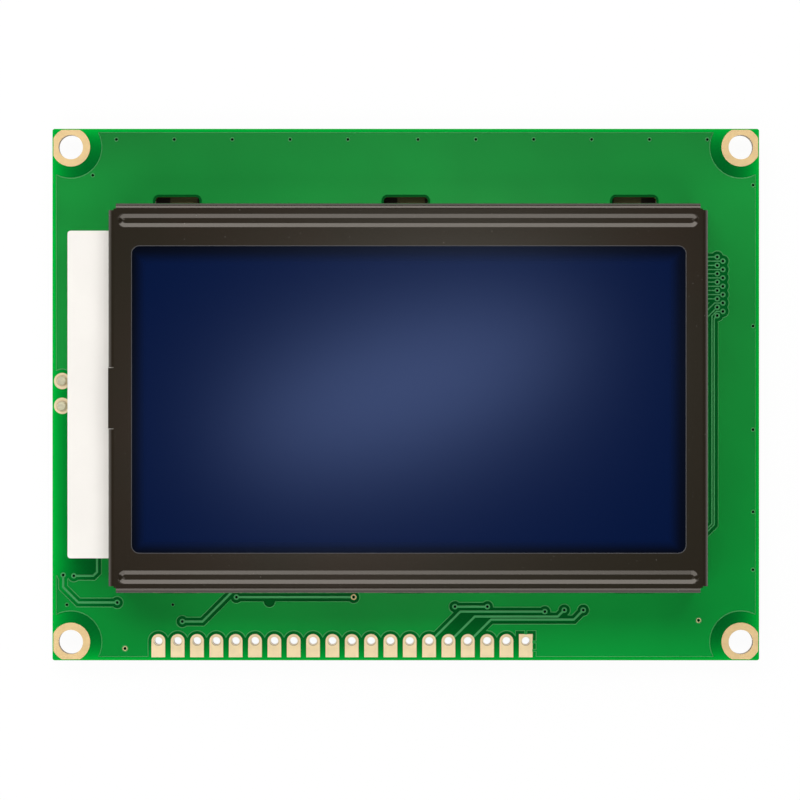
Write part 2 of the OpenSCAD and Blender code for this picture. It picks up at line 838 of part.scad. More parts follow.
module exposed_via_rings() {
    color("#ebc896")
        front_copper()
            at(exposed_vias)
                difference() {
                    circle(d = via_ring_d);
                    circle(d = via_drill_d);
                }
}

module upper_contact_fingers() {
    color("#ebc896")
        front_copper()
            finger_row(1);
}

module lower_contact_fingers() {
    color("#ebc896")
        front_copper()
            finger_row(-1);
}

module backlight_terminal_pads() {
    color("#ebc896")
        at(terminal_points)
            plated_hole(terminal_hole_d, terminal_pad_d);
}

// Flat lead from a terminal, under the housing's end and up behind the lamp board
module backlight_lead(y) {
    low = front_z;
    block([terminal_x, y - lead_w / 2, low], [led_board_x, y + lead_w / 2, low + lead_t]);
    block([led_board_x - lead_t, y - lead_w / 2, low], [led_board_x, y + lead_w / 2, led_z]);
}

module anode_lead() {
    color("#c8c8b4")
        backlight_lead(terminal_points[1].y);
}

module cathode_lead() {
    color("#c8c8b4")
        backlight_lead(terminal_points[0].y);
}

module backlight_solder_joints() {
    color("#c8c8b4")
        difference() {
            at(terminal_points) {
                translate([0, 0, front_z])
                    cylinder(d1 = solder_d, d2 = terminal_hole_d, h = solder_h);
                through_copper()
                    circle(d = terminal_hole_d);
            }
            for (p = terminal_points)
                backlight_lead(p.y);
        }
}

// Sheet bent down along an edge of length len, with its foot at height foot_z
module bent_flange(len, foot_z) {
    inner_r = bend_r - bezel_t;
    rotate([90, 0, 90])
        linear_extrude(len, center = true) {
            translate([-bend_r, bezel_top - bend_r])
                intersection() {
                    difference() {
                        circle(r = bend_r);
                        circle(r = inner_r);
                    }
                    square(bend_r);
                }
            translate([-bezel_t, foot_z])
                square([bezel_t, bezel_top - bend_r - foot_z]);
        }
}

// Tab from a long flange through the board; its foot fills the slot and is bent outwards against the rear
module bent_tab(x, slot_x) {
    inner_r = bend_r - bezel_t;
    bend_z = rear_z + inner_r;
    neck_z = board_t / 2;
    translate([x - tab_w / 2, -bezel_t, bend_z])
        cube([tab_w, bezel_t, front_z - bend_z]);
    translate([slot_x, 0, 0])
        rotate([90, 0, 90])
            linear_extrude(foot_w, center = true) {
                translate([-bezel_t, bend_z])
                    square([bezel_t, neck_z - bend_z]);
                translate([inner_r, bend_z])
                    intersection() {
                        difference() {
                            circle(r = bend_r);
                            circle(r = inner_r);
                        }
                        translate([-bend_r, -bend_r])
                            square(bend_r);
                    }
                translate([inner_r, rear_z - bezel_t])
                    square([tab_leg - inner_r, bezel_t]);
            }
}

// Pressed bead: a trough with sloping walls and round ends, below height z
module bead_form(z) {
    straight = bezel_w - 2 * bead_end - bead_w;
    floor_w = bead_w - 2 * bead_depth;
    half = [[0, 0], [bead_w / 2, 0], [floor_w / 2, -bead_depth], [0, -bead_depth]];
    other_half = [for (p = half) [-p.x, p.y]];
    translate([0, 0, z]) {
        rotate([90, 0, 90])
            linear_extrude(straight, center = true)
                polygon([half[1], half[2], other_half[2], other_half[1]]);
        for (side = [-1, 1])
            translate([side * straight / 2, 0])
                rotate([0, 0, -side * 90])
                    rotate_extrude(angle = 180)
                        polygon(half);
    }
}

module bezel() {
    flat_w = bezel_w - 2 * bend_r;
    flat_h = bezel_h - 2 * bend_r;
    side_foot = backlight_top + flange_clear;
    color("#3c3732")
        translate([bezel_x, bezel_y, 0]) {
            difference() {
                union() {
                    translate([-flat_w / 2, -flat_h / 2, bezel_under])
                        cube([flat_w, flat_h, bezel_t]);
                    for (turn = [0, 180])
                        rotate([0, 0, turn])
                            translate([0, bezel_h / 2, 0])
                                bent_flange(bezel_w - 2 * relief_w, front_z);
                    for (turn = [90, 270])
                        rotate([0, 0, turn])
                            translate([0, bezel_w / 2, 0])
                                bent_flange(bezel_h - 2 * relief_h, side_foot);
                    for (side = [-1, 1])
                        translate([0, side * bead_y, 0])
                            bead_form(bezel_under);
                }
                for (side = [-1, 1])
                    translate([0, side * bead_y, 0])
                        bead_form(bezel_top);
                translate([window_x, window_y, bezel_under - bezel_t])
                    linear_extrude(3 * bezel_t)
                        rounded_rect(window_w, window_h, window_r);
                translate([-bezel_w / 2 - bend_r, -lip_notch / 2, side_foot - bezel_t])
                    cube([2 * bend_r, lip_notch, bezel_top]);
            }
            translate([-bezel_w / 2, -lip_notch / 2 + lip_gap, bezel_under])
                cube([bend_r, lip_notch - 2 * lip_gap, bezel_t]);
            for (side = [0, 1], i = [0 : 2])
                mirror([0, side, 0])
                    translate([-bezel_x, bezel_h / 2, 0])
                        bent_tab(tab_x[i], (i - 1) * slot_pitch);
        }
}

module front_polariser() {
    color("#0a1e46")
        cell_slab(polariser_w, polariser_h, front_glass_top, front_polariser_top);
}

module front_glass() {
    color("#bcd2d0")
        cell_slab(glass_w, front_glass_h, rear_glass_top, front_glass_top);
}

module rear_glass() {
    color("#bcd2d0")
        cell_slab(glass_w, rear_glass_h, rear_polariser_top, rear_glass_top);
}

module rear_polariser() {
    color("#0a1e46")
        cell_slab(polariser_w, polariser_h, backlight_top, rear_polariser_top);
}

module zebra_strip(side) {
    translate([0, side * bead_y, 0])
        cell_slab(zebra_len, zebra_w, front_z, rear_glass_top);
}

module upper_zebra_strip() {
    color("#c88c82")
        zebra_strip(1);
}

module lower_zebra_strip() {
    color("#c88c82")
        zebra_strip(-1);
}

module backlight_housing() {
    inside = cavity_h / 2;
    slot = lead_w / 2 + lead_clear;
    color("#faf8f5")
        difference() {
            translate([(backlight_left + backlight_right) / 2, 0, front_z])
                linear_extrude(backlight_t)
                    rounded_rect(backlight_right - backlight_left, backlight_h, housing_corner_r);
            block([cavity_left, -inside, cavity_z], [cavity_right, inside, cover_z]);
            block([cover_right, -inside, cavity_z], [cavity_right, inside, backlight_top + cover_t]);
            for (p = terminal_points) {
                block(
                    [backlight_left - housing_wall, p.y - slot, front_z - lead_t],
                    [led_board_x, p.y + slot, front_z + lead_t + lead_clear]
                );
                block(
                    [cavity_left, p.y - slot, front_z - lead_t],
                    [led_board_x, p.y + slot, cavity_z + lead_t]
                );
            }
        }
}

module light_guide() {
    color("#e6f0f0")
        block([guide_left, -guide_h / 2, guide_z], [guide_right, guide_h / 2, guide_top]);
}

module diffuser_sheet() {
    color("#fafafa")
        block(
            [cover_right + guide_clear, -guide_h / 2, guide_top],
            [guide_right, guide_h / 2, guide_top + diffuser_t]
        );
}

module reflector_sheet() {
    color("#f5f5f5")
        block([guide_left, -guide_h / 2, cavity_z], [guide_right, guide_h / 2, guide_z]);
}

module led_board() {
    color("#e6e6dc")
        block([led_board_x, -guide_h / 2, cavity_z], [led_x, guide_h / 2, guide_top]);
}

module backlight_leds() {
    color("#f0e6aa")
        for (i = [0 : led_count - 1])
            translate([led_x, led_pitch * (i - (led_count - 1) / 2), led_z])
                block([0, -led_len / 2, -led_h / 2], [led_depth, led_len / 2, led_h / 2]);
}

// Glob of resin: a spherical cap on the rear face, flat in its middle
module glob_top(p) {
    foot_r = glob_d / 2;
    ball_r = (foot_r * foot_r + glob_dome_h * glob_dome_h) / (2 * glob_dome_h);
    color("#1e1e1e")
        translate(p)
            intersection() {
                translate([0, 0, ball_r - glob_dome_h])
                    sphere(r = ball_r);
                translate([0, 0, -glob_h])
                    cylinder(r = glob_d, h = glob_h);
            }
}

module controller_glob_top() {
    glob_top(controller_point);
}

module left_driver_glob_top() {
    glob_top(driver_points[0]);
}

module right_driver_glob_top() {
    glob_top(driver_points[1]);
}

// Middles of chips between their terminals
module chip_bodies(points, h) {
    middle = chip_len - 2 * chip_end;
    for (p = points)
        translate([p.x, p.y, rear_z - h])
            block([-middle / 2, -chip_w / 2, 0], [middle / 2, chip_w / 2, h]);
}

// Terminals at both ends of chips
module chip_ends(points, h) {
    for (p = points, side = [0, 1])
        translate([p.x, p.y, rear_z - h])
            mirror([side, 0, 0])
                block([chip_len / 2 - chip_end, -chip_w / 2, 0], [chip_len / 2, chip_w / 2, h]);
}

module chip_resistors() {
    color("#28282a")
        chip_bodies(resistor_points, resistor_h);
}

module chip_capacitors() {
    color("#b49b78")
        chip_bodies(capacitor_points, capacitor_h);
}

module chip_terminals() {
    color("#c8c8c8") {
        chip_ends(resistor_points, resistor_h);
        chip_ends(capacitor_points, capacitor_h);
    }
}

module chip_pads() {
    color("#c8c8c8")
        rear_copper()
            for (p = chip_points, side = [-1, 1])
                translate(p + [side * (chip_len - chip_end) / 2, 0])
                    square([chip_pad_len, chip_pad_w], center = true);
}

circuit_board();
front_ground_pour();
front_signal_traces();
rear_ground_pour();
rear_signal_traces();
mounting_hole_plating();
header_pads();
plated_vias();
exposed_via_rings();
upper_contact_fingers();
lower_contact_fingers();
backlight_terminal_pads();
backlight_solder_joints();
anode_lead();
cathode_lead();
bezel();
front_polariser();
front_glass();
rear_glass();
rear_polariser();
upper_zebra_strip();
lower_zebra_strip();
backlight_housing();
light_guide();
diffuser_sheet();
reflector_sheet();
led_board();
backlight_leds();
controller_glob_top();
left_driver_glob_top();
right_driver_glob_top();
chip_resistors();
chip_capacitors();
chip_terminals();
chip_pads();
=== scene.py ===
import math

import bmesh
import bpy
from bpy.props import FloatProperty, FloatVectorProperty, PointerProperty
from bpy.types import Operator, Panel, PropertyGroup
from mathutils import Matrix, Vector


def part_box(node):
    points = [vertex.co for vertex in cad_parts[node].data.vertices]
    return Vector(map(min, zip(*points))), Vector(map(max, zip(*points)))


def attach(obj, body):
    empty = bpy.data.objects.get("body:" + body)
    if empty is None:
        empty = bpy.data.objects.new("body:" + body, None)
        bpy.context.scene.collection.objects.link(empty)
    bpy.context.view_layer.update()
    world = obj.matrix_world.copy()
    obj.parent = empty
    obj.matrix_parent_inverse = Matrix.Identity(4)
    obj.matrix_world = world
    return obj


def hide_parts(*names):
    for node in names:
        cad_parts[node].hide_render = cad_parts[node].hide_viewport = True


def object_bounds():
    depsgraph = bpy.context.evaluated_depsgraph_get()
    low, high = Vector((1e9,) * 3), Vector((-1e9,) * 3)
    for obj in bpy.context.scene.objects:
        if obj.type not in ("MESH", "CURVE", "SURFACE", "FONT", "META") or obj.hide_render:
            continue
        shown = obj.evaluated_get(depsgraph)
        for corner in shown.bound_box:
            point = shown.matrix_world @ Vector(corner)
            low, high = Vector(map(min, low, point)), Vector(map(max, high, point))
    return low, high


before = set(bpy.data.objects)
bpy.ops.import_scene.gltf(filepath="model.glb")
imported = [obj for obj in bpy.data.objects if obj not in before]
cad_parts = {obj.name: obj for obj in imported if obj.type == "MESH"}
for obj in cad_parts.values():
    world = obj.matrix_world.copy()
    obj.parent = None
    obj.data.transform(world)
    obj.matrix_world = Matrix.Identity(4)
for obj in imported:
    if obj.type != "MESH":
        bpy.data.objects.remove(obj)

bl_info = {
    "name": "Graphic LCD module",
    "version": (1, 0, 0),
    "blender": (4, 5, 0),
    "location": "3D View > Sidebar > LCD module",
    "description": "Models the bezel, mask lines and solder of a graphic LCD module and finishes its solids",
    "category": "Object",
}

# Lengths are in metres, and in millimetres inside the materials.
MM = 0.001
TINY = 1e-6
QUARTER_TURN = math.pi / 2
FLAT = 0.9  # a face whose normal has more Z than this lies flat
SHARP = math.radians(50)  # an edge that turns by more than this is rounded
BLACK = (0.0, 0.0, 0.0, 1.0)
WHITE = (1.0, 1.0, 1.0, 1.0)
HEADER_PINS = 20
HEADER_PITCH = 2.54  # in millimetres
CAD_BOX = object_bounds()
BOARD_LOW, BOARD_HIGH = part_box("circuit_board")
BEZEL_LOW, BEZEL_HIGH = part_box("bezel")
POUR_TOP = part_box("front_ground_pour")[1].z
POUR_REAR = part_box("rear_ground_pour")[0].z
HOUSING_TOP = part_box("backlight_housing")[1].z


def length(name, description, millimetres, least=0.0):
    """A length that a user may change, given in millimetres."""
    return FloatProperty(
        name=name, description=description, default=millimetres * MM, min=least, unit="LENGTH", precision=5
    )


def colour(name, description, red, green, blue):
    """A colour that a user may change, given as it looks on screen, 0 to 255."""
    default = (red / 255, green / 255, blue / 255)
    return FloatVectorProperty(
        name=name, description=description, subtype="COLOR_GAMMA", size=3, min=0.0, max=1.0, default=default
    )


def level(name, description, default):
    """A plain number that a user may change."""
    return FloatProperty(name=name, description=description, default=default, min=0.0)


class BoardLook(PropertyGroup):
    """Colours and small sizes of the circuit board."""

    copper_mask: colour("Mask over copper", "Solder mask where copper lies under it", 0, 144, 52)
    laminate_mask: colour("Mask over laminate", "Solder mask where no copper lies under it", 0, 90, 33)
    lit_edge: colour("Lit edge", "Laminate next to the board's edge, where light leaks in", 0, 172, 56)
    trace_mask: colour("Mask over traces", "Thin solder mask on narrow traces", 72, 162, 95)
    ridge_mask: colour("Mask ridge", "Solder mask where it thins over the edge of the copper", 48, 154, 74)
    cut_edge: colour("Cut edge", "Bare laminate on the board's cut edges", 176, 178, 104)
    gold: colour("Gold", "Immersion gold on rings and contacts", 230, 198, 142)
    # Painted lift: the header's gold is painted paler than the other gold, against the weaker light at the board's
    # lower edge.
    lifted_pad_gold: colour("Header gold", "Immersion gold on the header's pads", 255, 231, 182)
    terminal_gold: colour("Terminal gold", "Immersion gold round the backlight's terminals", 224, 206, 168)
    # Painted highlight: a paler ring of gold at the edge of drilled holes, standing in for light catching the edge.
    rim: colour("Hole rim", "Gold that is rolled into the header's holes", 250, 232, 204)
    # Painted shade: the vias are filled near-black, standing in for the shade in their holes.
    via_shade: colour("Via filling", "Mask that fills the vias", 2, 9, 5)
    # Painted light on the mask over copper: this lift brightens it against the bezel's shadow, and the two shares
    # below paint it darker towards the upper edge and the ends.
    painted_lift: level("Thin mask", "Brightness of the mask over copper where it is thinnest", 1.22)
    upper_painted_shade: level("Upper mask", "Share by which the mask darkens towards the upper edge", 0.33)
    end_painted_shade: level("End mask", "Share by which the mask darkens towards the left and right edges", 0.3)
    # Painted sheen: a pale reflection mixed into the mask, growing towards the upper edge.
    painted_sheen: level("Milky mask", "Share of milky haze in the mask at the upper edge", 0.012)
    ridge_r: length("Mask ridge radius", "Half the width of the ridge along the copper's edges", 0.07)
    ridge_h: level("Mask ridge height", "Height of the ridge as a share of its radius", 0.3)
    glow_reach: length("Light leak", "How far light leaks in from the board's edge", 1.6)


class BezelShape(PropertyGroup):
    """Sizes and paint of the bezel."""

    sheet: length("Sheet", "Thickness of the sheet", 0.5)
    bend_r: length("Bend radius", "Outer radius of the bends", 0.7)
    left_border: length("Left border", "From the bezel's left side to the window", 3.05)
    right_border: length("Right border", "From the window to the bezel's right side", 2.9)
    upper_border: length("Upper border", "From the window to the bezel's upper side", 5.55)
    lower_border: length("Lower border", "From the bezel's lower side to the window", 5.2)
    window_r: length("Window radius", "Radius of the window's corners", 1.0)
    upper_bead: length("Upper bead", "From the bezel's upper side to the middle of its bead", 2.25)
    lower_bead: length("Lower bead", "From the bezel's lower side to the middle of its bead", 2.08)
    bead_end: length("Bead end", "From the bezel's side to the end of a bead", 1.3)
    bead_w: length("Bead width", "Overall width of a bead", 1.7)
    bead_floor: length("Bead floor", "Width of a bead's flat floor", 0.68)
    bead_depth: length("Bead depth", "Depth of a bead", 0.26)
    long_relief: length("Long relief", "How far a long flange stops short of the corner", 1.0)
    side_relief: length("Side relief", "How far a side flange stops short of the corner", 0.9)
    lip_notch: length("Lip notch", "Gap in the left flange that holds the flat lip", 8.0)
    lip_gap: length("Lip slit", "Slit at each end of the flat lip", 0.06)
    flange_clear: length("Side flange gap", "From the backlight up to the side flanges", 0.2)
    tab_w: length("Tab width", "Width of a tab", 3.6)
    tab_leg: length("Tab leg", "Reach of a bent tab past the flange", 2.2)
    tab_spread: length("Tab spread", "From the board's middle to the outer tabs", 29.2)
    tab_shift: length("Middle tab shift", "How far the middle tabs sit to the right", 0.7)
    slot_pitch: length("Slot pitch", "From slot to slot along the board", 30.0)
    # The foot fills its slot with dark paint, standing in for the shade seen through the slot.
    foot_w: length("Foot width", "Width of a tab's foot, which fills its slot", 5.8)
    foot_top: length("Foot top", "Height at which a tab widens into its foot", 0.8)
    edge_r: length("Edge radius", "Rounding of the sheet's cut edges", 0.12)
    paint: colour("Paint", "Black-brown paint", 37, 29, 21)
    worn_paint: colour("Worn paint", "Paint on the cut edge of the window", 100, 101, 106)
    # Painted lift: the tabs below the board are painted this paler colour against the deep shade in their slots.
    tab_lift_paint: colour("Scraped paint", "Bare metal where the slots scrape the tabs", 133, 132, 91)
    gloss: colour("Gloss", "Tint of the paint's gloss", 255, 246, 236)


class DisplayLook(PropertyGroup):
    """Colours of the display and the backlight."""

    film: colour("Display film", "Blue polariser, seen from the front", 0, 14, 51)
    film_glow: colour("Film tint", "Tint of light that the cell throws back", 160, 187, 255)
    # Painted shadow: the bezel's shadow on the film along the window's edges, its frame shifted by the two lengths
    # below so that the top and right are darkest.
    film_shadow: length("Film border", "Darker border of the cell inside the window", 2.2)
    shadow_x: length("Cell X", "Cell to the right of the window's middle", -0.2, least=-MM)
    shadow_y: length("Cell Y", "Cell above the window's middle", -0.3, least=-MM)
    housing: colour("Backlight housing", "White moulded plastic", 240, 236, 230)


class StageSetup(PropertyGroup):
    """Camera, lights and floor."""

    view_height: length("Camera height", "Camera above the board's front", 548.0)
    view_width: length("Field width", "Width of the view at the board's front", 105.06)
    view_x: length("Camera X", "Camera to the right of the board's middle", -0.762, least=-1.0)
    view_y: length("Camera Y", "Camera above the board's middle", -0.713, least=-1.0)
    upper_light: level("Upper light", "Power of the light beyond the upper edge, in watts", 5.5)
    lower_light: level("Lower light", "Power of the light before the lower edge, in watts", 4.3)
    left_light: level("Left light", "Power of the light on the left, in watts", 0.8)
    right_light: level("Right light", "Power of the light on the right, in watts", 0.4)
    top_light: level("Top light", "Power of the small oval light above the camera, in watts", 0.045)
    ambient: level("Ambient", "Strength of the even light from all round", 0.06)
    floor_w: length("Floor width", "Width of the square floor", 6000.0)
    wall_h: length("Wall height", "Height of the walls round the floor", 700.0)
    wall_rise: length("Wall rise", "How far the wall before the lower edge rises above the others", 1300.0)
    floor_white: level("Floor white", "Share of plain white that the floor shows to the eye", 0.96)


def linear(shade, share=1.0):
    """Scene-linear RGBA of a colour that is given as it looks on screen."""
    bent = [c / 12.92 if c <= 0.04045 else ((c + 0.055) / 1.055) ** 2.4 for c in shade]
    return (*[c * share for c in bent], 1.0)


class Field:
    """A shader value that varies over a surface; arithmetic on it adds Math nodes."""

    def __init__(self, finish, socket):
        self.finish = finish
        self.socket = socket

    def math(self, operation, *values):
        return self.finish.add("Math", {"operation": operation}, dict(enumerate(values)))

    def __add__(self, other):
        return self.math("ADD", self, other)

    def __sub__(self, other):
        return self.math("SUBTRACT", self, other)

    def __rsub__(self, other):
        return self.math("SUBTRACT", other, self)

    def __mul__(self, other):
        return self.math("MULTIPLY", self, other)

    def __truediv__(self, other):
        return self.math("DIVIDE", self, other)

    def __abs__(self):
        return self.math("ABSOLUTE", self)

    __radd__ = __add__
    __rmul__ = __mul__

    def sine(self):
        return self.math("SINE", self)

    def hypot(self, other):
        return self.math("SQRT", self * self + other * other)

    def fraction(self):
        return self.math("FRACT", self)

    def decay(self):
        """e to the power of minus this value."""
        return self.math("EXPONENT", self * -1.0)

    def least(self, other):
        return self.math("MINIMUM", self, other)

    def most(self, other):
        return self.math("MAXIMUM", self, other)

    def ramp(self, start, end):
        """0 before start and 1 after end, smooth between them."""
        return self.finish.add(
            "MapRange",
            {"interpolation_type": "SMOOTHSTEP"},
            {"Value": self, "From Min": start, "From Max": end},
        )


class Finish:
    """The nodes of one material or world; add() makes a shader node and returns one of its outputs."""

    def __init__(self, owner):
        owner.use_nodes = True
        self.owner = owner
        self.tree = owner.node_tree
        self.tree.nodes.clear()

    def add(self, kind, settings=None, sockets=None, output=0):
        node = self.tree.nodes.new("ShaderNode" + kind)
        for key, value in (settings or {}).items():
            setattr(node, key, value)
        for key, value in (sockets or {}).items():
            if isinstance(value, Field):
                self.tree.links.new(value.socket, node.inputs[key])
            else:
                node.inputs[key].default_value = value
        return Field(self, node.outputs[output]) if node.outputs else None

    def place(self):
        """Place on the object, in millimetres."""
        spot = self.add("TexCoord", output="Object")
        return self.add("VectorMath", {"operation": "SCALE"}, {0: spot, "Scale": 1 / MM})

    def split(self, vector):
        return [self.add("SeparateXYZ", None, {0: vector}, axis) for axis in range(3)]

    def stretch(self, vector, x, y, z):
        return self.add("VectorMath", {"operation": "MULTIPLY"}, {0: vector, 1: (x, y, z)})

    def noise(self, vector, scale, detail=3.0, roughness=0.55):
        sockets = {"Vector": vector, "Scale": scale, "Detail": detail, "Roughness": roughness}
        return self.add("TexNoise", None, sockets)

    def mix(self, factor, first, second):
        return self.add("Mix", {"data_type": "RGBA"}, {0: factor, 6: first, 7: second}, 2)

    def upright(self):
        """1 on faces that stand upright, 0 on faces that lie flat."""
        normal = self.add("NewGeometry", output="Normal")
        return 1.0 - abs(self.split(normal)[2]).ramp(0.3, 0.7)

    def bump(self, height, depth, strength=1.0):
        """Surface relief of a depth in millimetres."""
        return self.add("Bump", None, {"Strength": strength, "Distance": depth * MM, "Height": height})

    def surface(self, **sockets):
        """Principled surface: names are the shader's own, with _ for a space."""
        named = {key.replace("_", " "): value for key, value in sockets.items()}
        shader = self.add("BsdfPrincipled", None, named)
        self.add("OutputMaterial", None, {"Surface": shader})
        return self.owner


def new_finish(name):
    """The nodes of a new material, and the place on its object."""
    finish = Finish(bpy.data.materials.new(name))
    return finish, finish.place()


def speckled(name, base, other, scale, roughness, relief=0.004, **sockets):
    """A moulded or coated finish: two close shades in soft patches and a fine relief."""
    finish, spot = new_finish(name)
    patches = finish.noise(spot, scale)
    grain = finish.noise(spot, scale * 14, 2.0)
    shade = finish.mix(patches.ramp(0.3, 0.7), base, other)
    return finish.surface(
        Base_Color=shade,
        Roughness=roughness + 0.12 * (grain - 0.5),
        Normal=finish.bump(grain, relief),
        **sockets,
    )


def two_tone(name, base, other, **more):
    """A speckled finish whose two shades are given as they look on screen."""
    return speckled(name, linear(base), linear(other), **more)


def inset(finish, spot, left, right, lower, upper):
    """Distance inwards from the sides of a rectangle, in millimetres."""
    x, y, _ = finish.split(spot)
    aside = (right - left) / 2 - abs(x - (left + right) / 2)
    along = (upper - lower) / 2 - abs(y - (lower + upper) / 2)
    return aside.least(along)


def mask_over_laminate(look):
    """Green mask on bare laminate: woven glass shows faintly, light leaks in at the board's edge."""
    finish, spot = new_finish("mask_over_laminate")
    x, y, _ = finish.split(spot)
    half_w, half_h = BOARD_HIGH.x / MM, BOARD_HIGH.y / MM
    leak = (inset(finish, spot, -half_w, half_w, -half_h, half_h) / (look.glow_reach / MM)).decay()
    weave = (x * 9.0).sine() * (y * 9.0).sine()
    cloud = finish.noise(spot, 0.12)
    green = finish.mix(leak, linear(look.laminate_mask), linear(look.lit_edge))
    green = finish.mix(0.03 * weave + 0.25 * (cloud - 0.4), green, linear(look.copper_mask))
    streaks = finish.noise(finish.stretch(spot, 0.6, 0.6, 9.0), 1.5)
    cut = finish.mix(streaks.ramp(0.35, 0.65), linear(look.cut_edge), linear(look.cut_edge, 0.6))
    edge = finish.upright()
    return finish.surface(
        Base_Color=finish.mix(edge, green, cut),
        Roughness=0.2 + 0.4 * edge,
        Normal=finish.bump(weave + 2.0 * streaks * edge, 0.002),
        Specular_IOR_Level=0.06,
    )


def mask_over_copper(name, look, base, lift, roughness):
    """Green mask on copper: a satin coat that drifts in tone, with a fine orange peel.

    It is painted darker towards the board's upper edge and its two ends as painted shade, and brighter near the
    bezel as a painted lift against the bezel's shadow; a painted sheen makes it milkier upwards.
    """
    finish, spot = new_finish(name)
    x, y, _ = finish.split(spot)
    cloud = finish.noise(spot, 0.05, 2.0)
    peel = finish.noise(spot, 2.2, 2.0)
    # Painted shade: darker towards the board's upper edge and its two ends.
    upwards = 1.0 - look.upper_painted_shade * y.ramp(26.0, 34.5)
    outwards = 1.0 - look.end_painted_shade * abs(x - 4.0).ramp(22.0, 50.0)
    # Both tones are raised by the painted lift, which shows near the bezel where its shadow falls.
    dark, pale = linear(base, 0.9 * look.painted_lift), linear(base, (1.0 + lift) * look.painted_lift)
    # haze is the pale colour of the painted sheen, a reflection painted into the mask.
    haze = (0.7, 0.8, 0.7, 1.0)
    shade = finish.mix(cloud.ramp(0.25, 0.75), dark, pale)
    shade = finish.mix(1.0 - upwards * outwards, shade, BLACK)
    shade = finish.mix(look.painted_sheen * y.ramp(-40.0, 40.0), shade, haze)
    return finish.surface(
        Base_Color=shade,
        Roughness=roughness + 0.04 * (peel - 0.5),
        Normal=finish.bump(peel, 0.001, 0.5),
        Specular_IOR_Level=0.5,
    )


def immersion_gold(name, gold, rim=None, holes=None):
    """Matt pale gold with faint clouds and a few handling marks, with painted shade on its upright faces, and round
    drilled holes a paler ring as a painted highlight and a dark ring as painted shade.
    """
    finish, spot = new_finish(name)
    cloud = finish.noise(spot, 0.7)
    scuffs = finish.noise(finish.stretch(spot, 1.0, 6.0, 1.0), 1.6, 4.0).ramp(0.62, 0.75)
    shade = finish.mix(cloud.ramp(0.3, 0.7), linear(gold), linear(gold, 0.92))
    # Painted shade: upright faces, such as the walls of holes, darken towards brown.
    dark = 0.7 * finish.upright()
    if holes:
        around, rim_shade = holes(finish, spot)
        rim_inner, rim_outer, rim_shade_r, rim_shade_w = 0.5, 0.62, 0.6, 0.07
        # The paler ring at the hole's edge is a painted highlight.
        shade = finish.mix(1.0 - around.ramp(rim_inner, rim_outer), shade, linear(rim))
        # The dark ring round each hole is painted shade.
        dark = (0.3 * dark).most(rim_shade * (1.0 - abs(around - rim_shade_r).ramp(0.0, rim_shade_w)))
    shade_brown = linear((0.42, 0.3, 0.2))
    shade = finish.mix(dark, shade, shade_brown)
    return finish.surface(
        Base_Color=finish.mix(0.25 * scuffs, shade, linear(gold, 0.6)),
        Metallic=0.02 + 0.1 * cloud,
        Roughness=0.5 - 0.12 * scuffs,
        Normal=finish.bump(finish.noise(spot, 9.0), 0.004),
    )


def header_holes(finish, spot):
    """Distance from the nearest hole of the header row, in millimetres, and how dark the painted shade ring round
    it is, most below it.
    """
    low, high = [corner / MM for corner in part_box("header_pads")]
    pad_w = high.x - low.x - HEADER_PITCH * (HEADER_PINS - 1)
    x, y, _ = finish.split(spot)
    aside = (((x - (low.x + high.x) / 2) / HEADER_PITCH).fraction() - 0.5) * HEADER_PITCH
    along = y - (high.y - pad_w / 2)
    # Painted shade, strongest on the hole's lower side.
    rim_shade = 0.15 + 0.6 * (0.0 - along).ramp(-0.1, 0.5)
    return aside.hypot(along), rim_shade


def solder_rims(finish, spot):
    """The same for the backlight's terminals, where the distance leaves out what the solder covers."""
    low, high = [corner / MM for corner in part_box("backlight_solder_joints")]
    foot = (high.x - low.x) / 2
    x, y, _ = finish.split(spot)
    aside = x - (low.x + foot)
    along = abs(y - (low.y + high.y) / 2) - ((high.y - low.y) / 2 - foot)
    # An even painted shade ring round the solder.
    covered, rim_shade = foot - 0.53, 0.55
    return aside.hypot(along) - covered, rim_shade


def window_distance(finish, spot, shape):
    """Distance outwards from the outline of the bezel's window, in millimetres."""
    left, right, lower, upper = [side / MM for side in window_sides(shape)]
    radius = shape.window_r / MM
    x, y, _ = finish.split(spot)
    past_x = (abs(x - (left + right) / 2) - ((right - left) / 2 - radius)).most(0.0)
    past_y = (abs(y - (lower + upper) / 2) - ((upper - lower) / 2 - radius)).most(0.0)
    return past_x.hypot(past_y) - radius


def black_paint(shape):
    """Semi-gloss black-brown paint in warm and cool patches, worn at the window's edge, and painted paler on the
    tabs below the board as a lift against the deep shade in their slots.
    """
    finish, spot = new_finish("black_paint")
    drift = finish.noise(spot, 0.045, 2.0)
    grain = finish.noise(spot, 3.0, 2.0)
    dust = finish.noise(spot, 4.0, 1.0).ramp(0.78, 0.82)
    worn = 1.0 - abs(window_distance(finish, spot, shape)).ramp(0.02, 0.1)
    x, _, z = finish.split(spot)
    foot = 1.0 - z.ramp(0.2, 1.2)
    spread, shift = shape.tab_spread / MM, shape.tab_shift / MM
    aside = abs(abs(x) - spread).least(abs(x - shift)) - shape.tab_w / MM / 2
    # Painted lift: paler paint on the tabs below the board, against the shade in their slots.
    tab_lift = foot * (1.0 - aside.ramp(-0.1, 0.1))
    warm = linear(shape.paint)
    cool = (warm[0] * 0.86, warm[1] * 1.02, warm[2] * 0.98, 1.0)
    shade = finish.mix(drift.ramp(0.35, 0.65), warm, cool)
    dust_grey = (0.25, 0.24, 0.22, 1.0)
    shade = finish.mix(0.5 * dust, shade, dust_grey)
    shade = finish.mix(tab_lift, shade, linear(shape.tab_lift_paint))
    return finish.surface(
        Base_Color=finish.mix(0.6 * worn, shade, linear(shape.worn_paint)),
        Roughness=0.15 + 0.03 * (grain - 0.5) + 0.5 * foot.most(0.4 * dust.most(worn)),
        Specular_Tint=linear(shape.gloss),
        IOR=1.66,
    )


